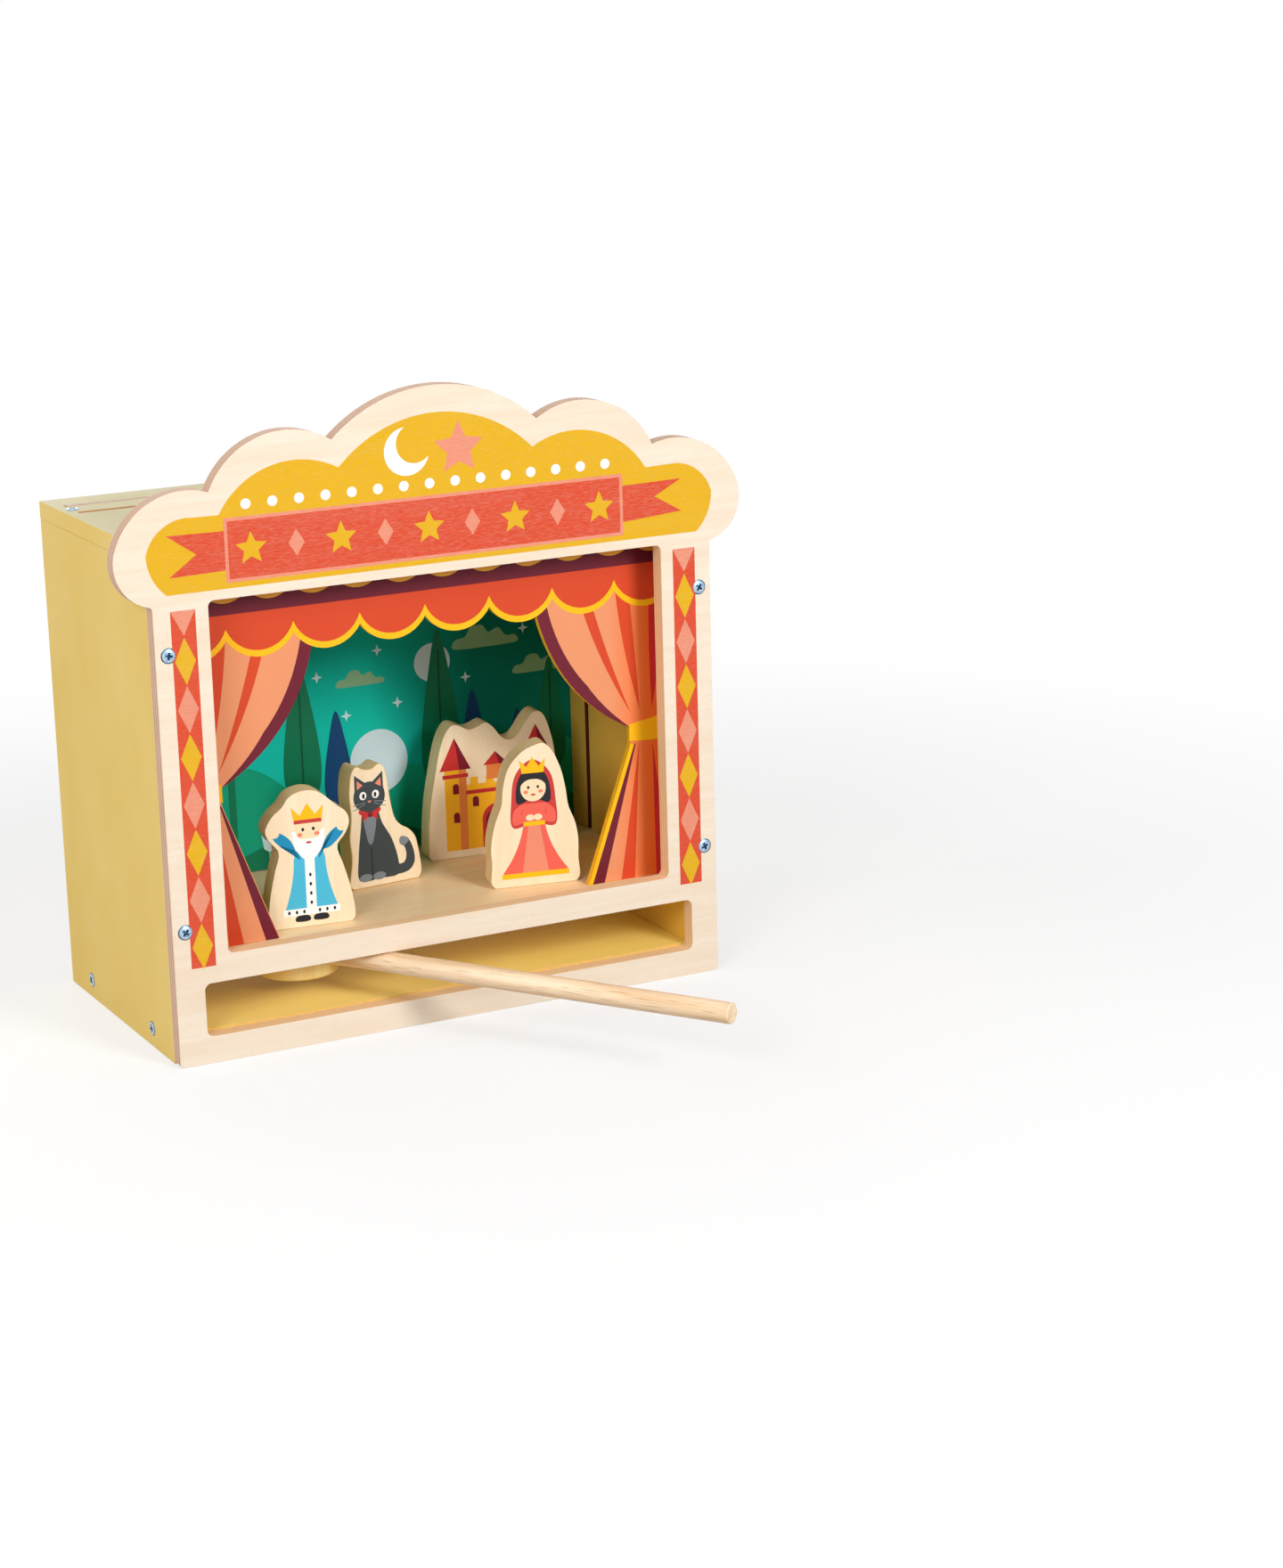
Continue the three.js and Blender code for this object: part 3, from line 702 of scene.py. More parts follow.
def scalloped(edge):  # an area with scallops below, from wall to wall
    reach, pitch, arcs = curtain['wall'], edge['pitch'], []
    count = math.ceil(reach / pitch) + 1
    for index in range(count, -count, -1):
        right = edge.get('offset', 0) + index * pitch
        spots = (right, edge['cusp']), (right - pitch / 2, edge['low']), (right - pitch, edge['cusp'])
        arc = arcThrough(*spots, curtain['scallopSteps'])
        arcs += [point for point in arc[:-1] if abs(point[0]) < reach]
    return [(reach, edge['top'])] + arcs + [(-reach, edge['top'])]


def foldStripe(ends, tip):
    (left, right), height = ends, curtain['foldTop']
    lean = (tip[0] - (left + right) / 2) * curtain['foldBulge']
    middle = (height + tip[1]) / 2
    leftSide = bezier((left, height), (left + lean, middle), tip, curtain['foldSteps'])
    rightSide = bezier(tip, (right + lean, middle), (right, height), curtain['foldSteps'])
    return leftSide + rightSide[1:]


def lowFold(ends, tip):
    return [(ends[0], curtain['foot'][1]), (ends[1], curtain['foot'][1]), tip]


def sweepBand():  # the maroon lining along the curtain's inner edge, wider towards the top
    c = curtain
    inner = bezier(c['tieHigh'], c['sweep'], c['sweepTop'])
    outer = []
    for index, (x, z) in enumerate(inner):
        share = index / (len(inner) - 1)
        width = c['bandWidth'] * min(1.0, share * c['bandGrowth']) ** c['bandPower']
        outer.append((x + width * c['bandAcross'], z + width * c['bandUp'] * (1 - share)))
    return placed(inner, c['overlap']) + outer[:0:-1]


def printCurtain():
    c = curtain
    board = {'name': 'curtain', 'body': 'theatre', 'slot': 'curtain_print',
             'place': boardPlace(curtainLow.y)}
    redInk, maroonInk, goldInk, deepRedInk, amberBounceInk = (inkFinish(name, tint) for name, tint in (
        ('curtain_red_ink', 'red'), ('maroon_ink', 'maroon'), ('gold_ink', 'gold'),
        ('deep_red_ink', 'deepRed'), ('amber_bounce_ink', 'amberBounce')))
    (footX, footZ), (tieX, tieZ), hair = c['foot'], c['tieLow'], c['overlap']
    stripes = [outline for stripe in c['highStripes'] for outline in both(foldStripe(*stripe))]
    lowBands = []
    for side, margin in ((flip, c['leftMargin']), (list, c['rightMargin'])):
        near = footX + margin
        lowBands.append(side([(near, footZ), (near + c['lowBand'], footZ),
                              (tieX + margin + c['tieBand'], tieZ), (tieX + margin, tieZ)]))
    border = [(footX + hair, footZ), (footX + c['goldMargin'], footZ), (tieX + c['goldMargin'], tieZ),
              (tieX + hair, tieZ)]
    darkFolds = both(lowFold(*c['lowDark'])) + both(foldStripe(*c['highDark']))
    band = block(-c['wall'], c['valance']['top'] - c['bandLap'], c['wall'], c['top'])
    inkAll(board, [
        ('red_folds', stripes + both(lowFold(*c['lowStripe'])), 1, redInk),
        ('maroon_edges', both(sweepBand()) + lowBands, 2, maroonInk),
        ('gold_border', [border], 1, goldInk),
        ('deep_folds', darkFolds, 2, deepRedInk),
        ('ties', both(c['tie']), 3, goldInk),
        ('gold_scallops', [scalloped(c['scallops'])], 4, goldInk),
        ('valance', [scalloped(c['valance'])], 5, redInk),
        ('valance_band', [band], 6, maroonInk),
        # painted bounce light: the pelmet's gold print is given a warmer amber, for warm light bounced from
        # the red curtain into its shade
        ('pelmet', [scalloped(c['pelmet'])], 7, amberBounceInk),
    ])


def printSide(face):  # printed front, edge or bare back
    if not turnedTo(face, 'Y', 'flat'):
        return 1
    return 0 if face.normal.y < 0 else 2


boardBack = woodFinish('board_back', 'floorWood', 'floorWoodDark', 'Z', contrast=0.3, roughness=0.6)
# the peach ink carries painted warm shade towards the right curtain's outer edge
peachInkWarmShade = inkFinish('peach_ink_warm_shade', 'peach', rim=curtain['rim'])
goldPaint = inkFinish('gold_edge_paint', 'gold')
easedCopy('curtain_board', curtain['ease'], [peachInkWarmShade, goldPaint, boardBack], 'theatre',
          printSide)
printCurtain()
print('curtain')

# Scenery board: a garden with hills, round trees and poplars under a moon. Hills have a middle,
# a half width and a top. Trees have the place of their foot, a width or a radius, and a height. Shares are
# of half a tree's width and of its height
scenery = {
    'ease': 0.3, 'half': 161.6, 'bottom': 58.2,
    'farHills': [(-150, 44, 116), (-72, 66, 124), (34, 72, 112), (126, 60, 126)],
    'nearHills': [(-118, 58, 90), (-8, 76, 80), (108, 66, 92)],
    'hillSteps': 24, 'hillPower': 0.8, 'hillLeast': 0.02,
    'poplars': [(-26, 92, 24, 92), (66, 88, 26, 104), (141, 92, 20, 74)],
    'navyPoplars': [(-3, 88, 18, 62), (88, 86, 19, 66), (-150, 84, 18, 92), (118, 90, 15, 46)],
    'poplarShares': [(0, 0), (0.86, 0.12), (1, 0.34), (0.6, 0.7), (0, 1)],
    'roundTrees': [(-72, 96, 19, 66), (-112, 92, 16, 50)],
    'paleTrees': [(24, 82, 19, 52), (-102, 64, 14, 40)],
    'trunkRise': 4, 'poplarTrunk': (4, 18), 'navyTrunk': (3.4, 16),  # width and depth
    'roundTrunk': (4.5, 0.3, 0.55), 'paleTrunk': (3.4, 0.3, 0.6),  # width, place and depth as height shares
    'roundCrown': 1.1, 'paleCrown': 1.05,
    'veinHalf': 0.5, 'veinShares': (0.06, 0.88), 'stemHalf': 0.6, 'stemShares': (-0.9, 0.6),
    'branch': [(0, 0), (0.5, 7), (0.52, 5.6), (0, -1.6)], 'branchHeights': (-12, -4, 4),
    'moon': (62, 172, 12), 'moonSteps': 56,
    'clouds': [(-92, 206, 46), (-40, 178, 34), (98, 178, 42), (14, 164, 30), (134, 158, 34)],
    'cloudTenths': [(-5, 0), (-4.8, 1.3), (-3.2, 1.7), (-2.2, 3), (-0.4, 3.1), (0.6, 2), (2.2, 2.5),
                    (3.4, 1.2), (4.9, 1.1), (5, 0), (0, -0.15)],
    'stars': [(-122, 238), (-60, 238), (2, 240), (66, 244), (-46, 214), (84, 160), (26, 184), (128, 250),
              (124, 186), (38, 150), (-14, 172), (60, 206), (4, 146)],
    'starSize': (3.6, 1.3, 4),
    'flowers': [(-124, 70), (-104, 66), (-86, 72), (-50, 67), (-34, 72), (58, 68), (80, 73), (102, 66),
                (126, 71)],
    'tulip': [(0, 1.5), (3.6, 4), (5, 13), (2.4, 9.5), (0, 14)], 'tulipStem': (-0.6, -8, 0.6, 1.6),
    'curveSteps': 6,
}


def hill(x, half, top):
    low, steps = scenery['bottom'], scenery['hillSteps']
    start, end = max(x - half, -scenery['half']), min(x + half, scenery['half'])
    points = [(start, low)]
    for step in range(steps + 1):
        u = start + (end - start) * step / steps
        swell = max(scenery['hillLeast'], math.cos((u - x) / half * math.pi / 2)) ** scenery['hillPower']
        points.append((u, low + (top - low) * swell))
    return points + [(end, low)]


def poplar(x, z, across, up):
    shape = symmetric(scenery['poplarShares'])
    return smoothLoop(placed(shape, x, z, across / 2, up), scenery['curveSteps'])


def trunk(x, z, width, depth):
    return block(x - width / 2, z - depth, x + width / 2, z + scenery['trunkRise'])


def crowns(trees, height):
    return [oval(x, z + up - radius, radius, radius * height) for x, z, radius, up in trees]


def tallTrunks(trees, width, place, depth):
    return [trunk(x, z + up * place, width, up * depth) for x, z, radius, up in trees]


def leafVeins():
    s, veins = scenery, []
    low, high = s['veinShares']
    for x, z, across, up in s['poplars']:
        half = s['veinHalf']
        veins.append(block(x - half, z + up * low, x + half, z + up * high))
    low, high = s['stemShares']
    for x, z, radius, up in s['roundTrees']:
        middle, half = z + up - radius, s['stemHalf']
        veins.append(block(x - half, middle + radius * low, x + half, middle + radius * high))
        for side in (radius, -radius):
            veins += [placed(s['branch'], x, middle + height, side) for height in s['branchHeights']]
    return veins


def printScenery():
    s = scenery
    board = {'name': 'scenery', 'body': 'scenery', 'slot': 'scenery_print',
             'place': boardPlace(sceneryLow.y)}
    leafInk, navyInk, paleInk, sageInk, darkInk, hillInk = (inkFinish(name, tint) for name, tint in (
        ('leaf_ink', 'leaf'), ('navy_ink', 'navy'), ('pale_blue_ink', 'sky'), ('sage_ink', 'sage'),
        ('dark_leaf_ink', 'leafDarkAndShade'), ('hill_ink', 'hill')))
    clouds = [smoothLoop(placed(s['cloudTenths'], x, z, across / 10, across / 10), s['curveSteps'])
              for x, z, across in s['clouds']]
    trunks, navyTrunks = ([trunk(x, z, *s[size]) for x, z, across, up in s[trees]] for trees, size in (
        ('poplars', 'poplarTrunk'), ('navyPoplars', 'navyTrunk')))
    navy = [poplar(*tree) for tree in s['navyPoplars']] + navyTrunks
    navy += tallTrunks(s['paleTrees'], *s['paleTrunk'])
    roundTrees = crowns(s['roundTrees'], s['roundCrown']) + tallTrunks(s['roundTrees'], *s['roundTrunk'])
    inkAll(board, [
        ('moon', [oval(*s['moon'], steps=s['moonSteps'])], 1, paleInk),
        ('clouds', clouds, 2, sageInk),
        ('stars', [star(x, z, *s['starSize']) for x, z in s['stars']], 1, paleInk),
        ('far_hills', [hill(*shape) for shape in s['farHills']], 2, hillInk),
        ('poplars', [poplar(*tree) for tree in s['poplars']] + trunks, 3, leafInk),
        ('round_trees', roundTrees, 4, leafInk),
        ('navy_trees', navy, 5, navyInk),
        ('pale_trees', crowns(s['paleTrees'], s['paleCrown']), 5, paleInk),
        ('leaf_veins', leafVeins(), 6, darkInk),
        ('near_hills', [hill(*shape) for shape in s['nearHills']], 7, leafInk),
        ('tulips', [placed(symmetric(s['tulip']), x, z) for x, z in s['flowers']], 8, paleInk),
        ('tulip_stems', [placed(block(*s['tulipStem']), x, z) for x, z in s['flowers']], 8, sageInk),
    ])


sceneryFinishes = [skyFinish('sky_ink'), inkFinish('scenery_edge', 'boardEdge'), boardBack]
easedCopy('scenery_board', scenery['ease'], sceneryFinishes, 'scenery', printSide)
printScenery()
print('scenery')

# Stage pieces: blocks with rounded edges and a figure printed on the front
blocks = {
    'thickness': 15, 'ease': 1.9, 'segments': 4,
    'king': ('king_figure', -6.3), 'queen': ('queen_figure', -10.8), 'cat': ('cat_figure', 5.4),
    'castle': ('castle_block', -5.2),  # node and turn in degrees
}
blockFront = woodFinish('block_front', 'block', 'blockDark', 'Z', contrast=0.5)
# The sides are side grain, warmer than the front, and lightened further: painted light for the fill they
# lack inside the stage
blockSideLit = woodFinish('block_side_lit', 'blockSideLit', 'blockSideLitDark', 'Z')
inks = {name: inkFinish(name + '_print', name) for name in (
    'skin', 'cheek', 'blue', 'blueDeep', 'white', 'gold', 'coral', 'coralDeep', 'black', 'fur', 'furLight',
    'wall', 'wallShade', 'roof', 'roofShade', 'salmon', 'maroon')}


def makeBlock(name):
    node, degrees = blocks[name]
    low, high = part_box(name + '_magnet')
    ahead = Matrix.Rotation(math.radians(degrees), 3, 'Z') @ Vector((0, 1, 0))
    easedCopy(node, blocks['ease'], [blockFront, blockSideLit], name,
              lambda face: 0 if abs(face.normal.dot(ahead)) > leaning['flat'] else 1, blocks['segments'],
              [((low + high) / 2, easing['pocketReach'] * mm)])


# A figure's prints are in millimetres across from the middle of its block and up from its foot
def printFigure(name, prints):
    node, degrees = blocks[name]
    low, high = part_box(name + '_magnet')
    centre = (low + high) / 2
    base = Matrix.Translation((centre.x, centre.y, low.z))
    turn = Matrix.Rotation(math.radians(degrees), 4, 'Z')
    front = boardPlace(-blocks['thickness'] / 2 * mm)
    board = {'name': name, 'body': name, 'slot': 'figure_wood', 'place': base @ turn @ front}
    inkAll(board, [(part, outlines, layer, inks[tint]) for part, (outlines, layer, tint) in prints.items()])


crownShares = [(0.85, 0), (1, 0.85), (0.48, 0.4), (0, 1)]  # of a crown's half width and height


def crown(z, half, height):
    return placed(symmetric(crownShares), 0, z, half, height)


# The prints of a figure each have outlines, a layer and an ink
king = {
    'boots': (both(smoothLoop([(1.4, 3.4), (9.4, 3.4), (8.8, 6.6), (2, 6.6)], 4)), 1, 'black'),
    'robe': ([symmetric([
        (16.8, 7), *bezier((16.2, 9), (9.5, 26), (9.3, 40), 8), (8, 44.5)])], 1, 'blue'),
    'sleeves': (both(smoothLoop([
        (6, 44.5), (12.5, 45.5), (20.6, 53.4), (17.8, 57.2), (10.5, 51.5), (6, 40)], 5)), 2, 'blueDeep'),
    'hands': (both(oval(19.7, 56.8, 2.7)), 3, 'skin'),
    'ermine': ([block(-2.9, 7, 2.9, 42), block(-16.8, 7, 16.8, 11)], 3, 'white'),
    'ermine_spots': ([oval(x, z, 0.75, 1.1, 12) for x, z in (
        (-13.5, 9), (-9, 9), (-4.6, 9), (4.6, 9), (9, 9), (13.5, 9),
        (0, 14), (0, 19.5), (0, 25), (0, 30.5))], 4, 'black'),
    'head': ([oval(0, 54.5, 9.2, 9.4)], 4, 'skin'),
    'beard': ([smoothLoop(symmetric([
        (0, 38.5), (4.6, 41.5), (8.6, 48), (9.6, 56), (7.6, 56.4), (5.6, 52.4), (0, 51.8)]), 6)],
        5, 'white'),
    'mouth': ([oval(0, 49.6, 1.7, 0.7, 16)], 6, 'coralDeep'),
    'cheeks': (both(oval(5, 54.4, 1.5, 1.2, 20)), 5, 'cheek'),
    'eyes': (both(oval(3.1, 57.4, 0.85, 1.05, 16)), 6, 'black'),
    'crown': ([crown(61, 9.4, 11.5)], 6, 'gold'),
    'crown_band': ([block(-8.1, 61, 8.1, 63.2)], 7, 'coralDeep'),
}


def fringe(end, top, under, parting):  # hair over the forehead, parted in the middle
    side = arcThrough(end, under, parting, 8)
    return arcThrough((-end[0], end[1]), top, end, 16) + side[1:] + flip(side)[1:-1]


queen = {
    'veil': ([smoothLoop(symmetric([
        (0, 38), (13, 36), (13.5, 52), (10.5, 68), (0, 76.5)]), 6)], 1, 'coralDeep'),
    'dress': ([symmetric([
        (20.5, 5), *bezier((19.4, 9), (9, 22), (6.4, 38), 8), (7.6, 50)])], 2, 'coral'),
    'dress_panel': ([symmetric([(8.4, 5), (3.4, 37)])], 3, 'salmon'),
    'hem': ([block(-20.5, 5, 20.5, 8)], 4, 'gold'),
    'belt': ([block(-6.6, 36.4, 6.6, 39)], 5, 'gold'),
    'sleeves': (both(smoothLoop([
        (7.4, 49.5), (12.6, 45), (12.4, 37.6), (4.4, 39.6), (4, 43), (7.4, 43.6)], 5)), 5, 'coral'),
    'hands': (both(oval(2.4, 41.4, 2.6, 1.9)), 6, 'skin'),
    'hair': ([smoothLoop(symmetric([
        (0, 53), (9.6, 50), (10.2, 60), (6.6, 68.6), (0, 70.6)]), 6)], 3, 'black'),
    'face': ([oval(0, 59, 7.7, 7.9)], 4, 'skin'),
    'fringe': ([fringe((7.9, 60.5), (0, 68.2), (4, 64), (0, 64.6))], 5, 'black'),
    'cheeks': (both(oval(4.5, 57, 1.4, 1.1, 20)), 5, 'cheek'),
    'eyes': (both(oval(2.9, 59.8, 0.75, 0.95, 16)), 6, 'black'),
    'mouth': ([oval(0, 55.2, 1.5, 0.6, 16)], 6, 'coralDeep'),
    'crown': ([crown(68.4, 7.8, 9.6)], 7, 'gold'),
}


def onHead(*outlines, middle=-9):  # outlines about the head's middle, put where the head is
    return [placed(outline, middle) for outline in outlines]


cat = {
    'tail': ([smoothLoop([
        (6, 5.4), (15, 5.8), (19.6, 11), (18.8, 19.6), (15.4, 26.2), (10.9, 27.6), (9.9, 24), (13, 21.2),
        (14.2, 16), (12.2, 11.4), (6, 10.6)], 6)], 1, 'fur'),
    'tail_tip': ([smoothLoop([
        (9.9, 24), (12.6, 21.8), (16.4, 24.8), (14.2, 27), (10.9, 27.6)], 5)], 2, 'furLight'),
    'body': ([smoothLoop([
        (-17.6, 5), (-17.8, 20), (-15.6, 36), (-13.4, 47), (-4.6, 47), (-1, 38), (5, 27), (8.6, 14),
        (8.2, 5), (-4, 4.6)], 6)], 2, 'fur'),
    'chest': ([smoothLoop([
        (-13.2, 44), (-11.6, 30), (-9.4, 26), (-7, 30), (-5.2, 44)], 6)], 3, 'furLight'),
    'paws': ([oval(-13.6, 6.2, 4.2, 2.4), oval(-4.4, 6.2, 4.2, 2.4)], 4, 'furLight'),
    'leg_lines': ([block(-9.4, 8, -8.7, 24)], 4, 'black'),
    'head': (onHead(smoothLoop(symmetric([
        (0, 46.4), (7, 48.4), (10.4, 54), (8.6, 61), (0, 64.6)]), 6),
        *both([(9.6, 57), (9.4, 69.6), (1.6, 63.4)])), 3, 'fur'),
    'inner_ears': (onHead(*both([(8, 60.6), (8, 66.2), (4, 62.8)])), 4, 'salmon'),
    'eyes': (onHead(*both(oval(4.2, 56.4, 2.3, 2.5, 24))), 4, 'white'),
    'pupils': (onHead(*both(oval(3.9, 56.2, 0.9, 1.6, 16))), 5, 'black'),
    'nose': (onHead(symmetric([(0, 51.4), (1.4, 53)])), 5, 'salmon'),
    'whiskers': (onHead(*both([(3, 52), (11, 51), (11, 51.4), (3, 52.5)]),
                        *both([(3, 51), (11, 48), (11, 48.4), (3, 51.5)])), 5, 'furLight'),
    'ribbon': ([smoothLoop([
        (-15.8, 48), (-9, 45.8), (-2.4, 48), (-2.6, 45.4), (-9, 43), (-15.6, 45.4)], 5)], 5, 'roof'),
    'bow': (onHead(*both([(0, 44.4), (5, 40.8), (5, 47.6)])), 6, 'roof'),
    'bow_knot': (onHead(oval(0, 44.4, 1.6, 1.6, 20)), 7, 'roofShade'),
}


# Towers have a middle, a half width, a top and a roof height. Arches have the middle of their foot, a
# half width and a height
castle = {
    'foot': 4.6, 'towers': [(-24.5, 7, 55, 20), (28, 8, 57, 21)], 'shadeShare': 0.3,
    'wallLeft': -18, 'wallRight': 20.5, 'wallTop': 45, 'merlonTop': 49.5, 'merlonPitch': 10.2, 'merlons': 4,
    'turret': (-4.4, 47, 7.4, 56), 'turretRoof': [(-6.4, 56), (9.4, 56), (1.5, 64)],
    'eaves': 3, 'roofShadeShare': 0.72,
    'ledge': {'over': 1.2, 'low': 5, 'high': 2.6}, 'wallLedge': (39, 41.4),
    'gateFrame': (1.5, 4.6, 9.6, 27), 'gate': (1.5, 4.6, 7.4, 23.6),
    'uprights': (-2.2, 1.5, 5.2), 'upright': (-0.4, 4.8, 0.4, 22),
    'crossbars': (11, 17), 'crossbar': (-5.6, 0, 8.6, 0.8),
    'windows': [(-24.5, 40), (-24.5, 22), (27, 42), (27, 26), (27, 11), (-12, 31), (15, 31)],
    'window': (1.9, 6.4), 'archSteps': 14,
}


def arch(x, z, half, height):
    spring = z + height - half
    spots = (x + half, spring), (x, z + height), (x - half, spring)
    return [(x - half, z), (x + half, z)] + arcThrough(*spots, castle['archSteps'])


def gatehouse():
    c = castle
    outline = [(c['wallLeft'], c['foot']), (c['wallRight'], c['foot']), (c['wallRight'], c['wallTop'])]
    for index in range(c['merlons']):
        right = c['wallRight'] - index * c['merlonPitch']
        middle = right - c['merlonPitch'] / 2
        outline += [(right, c['merlonTop']), (middle, c['merlonTop']), (middle, c['wallTop']),
                    (right - c['merlonPitch'], c['wallTop'])]
    return outline[:-1] + [(c['wallLeft'], c['wallTop'])]


def castlePrints():
    c, ledge = castle, castle['ledge']
    towers, shades, roofs, ledges = [], [], [], []
    for x, half, top, roof in c['towers']:
        towers.append(block(x - half, c['foot'], x + half, top))
        shades.append(block(x + half * c['shadeShare'], c['foot'], x + half, top))
        roofs.append([(x - half - c['eaves'], top), (x + half + c['eaves'], top), (x, top + roof)])
        over = half + ledge['over']
        ledges.append(block(x - over, top - ledge['low'], x + over, top - ledge['high']))
    roofs.append(c['turretRoof'])
    low, high = c['wallLedge']
    ledges.append(block(c['wallLeft'], low, c['wallRight'], high))
    roofShades = [[(right - (right - x) * c['roofShadeShare'], eaves), (right, eaves), (x, peak)]
                  for _, (right, eaves), (x, peak) in roofs]
    bars = [placed(block(*c['upright']), x) for x in c['uprights']]
    bars += [placed(block(*c['crossbar']), 0, z) for z in c['crossbars']]
    return {
        'gatehouse': ([gatehouse()], 1, 'wall'),
        'turret': ([block(*c['turret'])], 2, 'wallShade'),
        'towers': (towers, 2, 'wall'),
        'tower_shades': (shades, 3, 'wallShade'),
        'roofs': (roofs, 4, 'roof'),
        'roof_shades': (roofShades, 5, 'roofShade'),
        'ledges': (ledges, 5, 'roof'),
        'gate_frame': ([arch(*c['gateFrame'])], 2, 'roof'),
        'gate': ([arch(*c['gate'])], 3, 'maroon'),
        'gate_bars': (bars, 4, 'roofShade'),
        'windows': ([arch(*spot, *c['window']) for spot in c['windows']], 6, 'roofShade'),
    }


for name in ('king', 'queen', 'cat', 'castle'):
    makeBlock(name)
for name, prints in (('king', king), ('queen', queen), ('cat', cat), ('castle', castlePrints())):
    printFigure(name, prints)
print('stage pieces')

# Wand
wand = {
    'puckRadius': 24, 'puckHeight': 22, 'puckEase': 2.4, 'puckSides': 72,
    'pocketRadius': 4.25, 'pocketDepth': 3.2,
    'rodRadius': 6, 'rodEase': 1.1, 'rodStart': 7.5, 'rodReach': 284, 'rodSides': 40, 'turnDegrees': 33.5,
    'easeSteps': 5, 'merge': 0.001,
    'streak': ((160, 8, 160), 3.0), 'streakRamp': (0.38, 0.68), 'streakShare': 0.8,
    'pore': ((1400, 60, 1400), 2.0), 'poreRamp': (0.55, 0.72), 'poreShare': 0.7, 'bump': 0.05,
}


def turned(profile, sides):  # a closed profile of (radius, height) spun about Z
    bm = bmesh.new()
    verts = [bm.verts.new((radius * mm, 0, height * mm)) for radius, height in profile]
    edges = [bm.edges.new(pair) for pair in zip(verts, verts[1:])]
    bmesh.ops.spin(bm, geom=verts + edges, cent=(0, 0, 0), axis=(0, 0, 1), angle=2 * math.pi, steps=sides,
                   use_merge=True)
    bmesh.ops.remove_doubles(bm, verts=bm.verts, dist=wand['merge'] * mm)
    bmesh.ops.recalc_face_normals(bm, faces=bm.faces)
    for face in bm.faces:
        face.smooth = True
    return bm


def easedProfile(radius, low, high, ease):
    steps = wand['easeSteps']
    quarter = [math.pi / 2 * step / steps for step in range(steps + 1)]
    bottom = [(radius - ease + ease * math.sin(t), low + ease - ease * math.cos(t)) for t in quarter]
    top = [(radius - ease + ease * math.cos(t), high - ease + ease * math.sin(t)) for t in quarter]
    return bottom + top


# The rod's grain runs along it, so its pattern is turned with it
def rodFinish():
    w = wand
    finish = Finish('rod_wood', 0.5)
    turn = (0, 0, -math.radians(w['turnDegrees']))
    streak = finish.noise(*w['streak'], turn=turn).ramp(*w['streakRamp'])
    pore = finish.noise(*w['pore'], turn=turn).ramp(*w['poreRamp'])
    base = finish.mix(streak * w['streakShare'], tone('rod'), tone('rodDark'))
    finish.set('Base Color', finish.mix(pore * w['poreShare'], base, tone('rodPore')))
    finish.bump(pore * -1.0, w['bump'])
    return finish.material


def wandPiece(name, bm, finish, node):
    piece = asPiece(name, bm, [finish], 'wand')
    weightNormals(piece)
    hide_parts(node)


def makeWand():
    w = wand
    low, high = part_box('wand_magnet')
    centre = Vector(((low.x + high.x) / 2, (low.y + high.y) / 2, high.z))
    pocket = [(w['pocketRadius'], 0), (w['pocketRadius'], -w['pocketDepth']), (0, -w['pocketDepth'])]
    outside = easedProfile(w['puckRadius'], -w['puckHeight'], 0, w['puckEase'])
    bm = turned([(0, -w['puckHeight'])] + outside + pocket, w['puckSides'])
    bmesh.ops.translate(bm, verts=bm.verts, vec=centre)
    puckWood = woodFinish('puck_wood', 'puck', 'puckDark', 'Z', contrast=0.9)
    wandPiece('puck_turned', bm, puckWood, 'wand_puck')
    rodLow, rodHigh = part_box('wand_rod')
    outside = easedProfile(w['rodRadius'], w['rodStart'], w['rodReach'], w['rodEase'])
    bm = turned([(0, w['rodStart'])] + outside + [(0, w['rodReach'])], w['rodSides'])
    spot = Matrix.Translation((centre.x, centre.y, (rodLow.z + rodHigh.z) / 2))
    turn = Matrix.Rotation(math.radians(w['turnDegrees']), 4, 'Z')
    level = Matrix.Rotation(math.pi / 2, 4, 'X')
    bmesh.ops.transform(bm, matrix=spot @ turn @ level, verts=bm.verts)
    wandPiece('rod_turned', bm, rodFinish(), 'wand_rod')


makeWand()
magnetPaint = magnetFinish('magnet_ferrite')
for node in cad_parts:
    if node.endswith('_magnet'):
        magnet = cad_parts[node]
        magnet.data.materials.clear()
        magnet.data.materials.append(magnetPaint)
print('wand')

# Screws: a raised head with a cross recess
screw = {
    'headRadius': 4.25, 'rise': 1.1, 'domeRise': 0.8, 'domePower': 3, 'domeSteps': 8, 'rim': 0.4,
    'shankRadius': 1.75, 'length': 30, 'point': 4, 'sides': 40,
    'recessHalf': 2.6, 'recessWide': 0.8, 'recessDeep': 2.2, 'recessTaper': 0.6, 'cutterRise': 1,
    'shadedRim': 0.4, 'floorLean': 0.8, 'smoothDegrees': 30, 'firstTurn': 17, 'nextTurn': 31,
}


def asObject(name, bm):
    mesh = bpy.data.meshes.new(name)
    bm.to_mesh(mesh)
    bm.free()
    made = bpy.data.objects.new(name, mesh)
    bpy.context.scene.collection.objects.link(made)
    return made


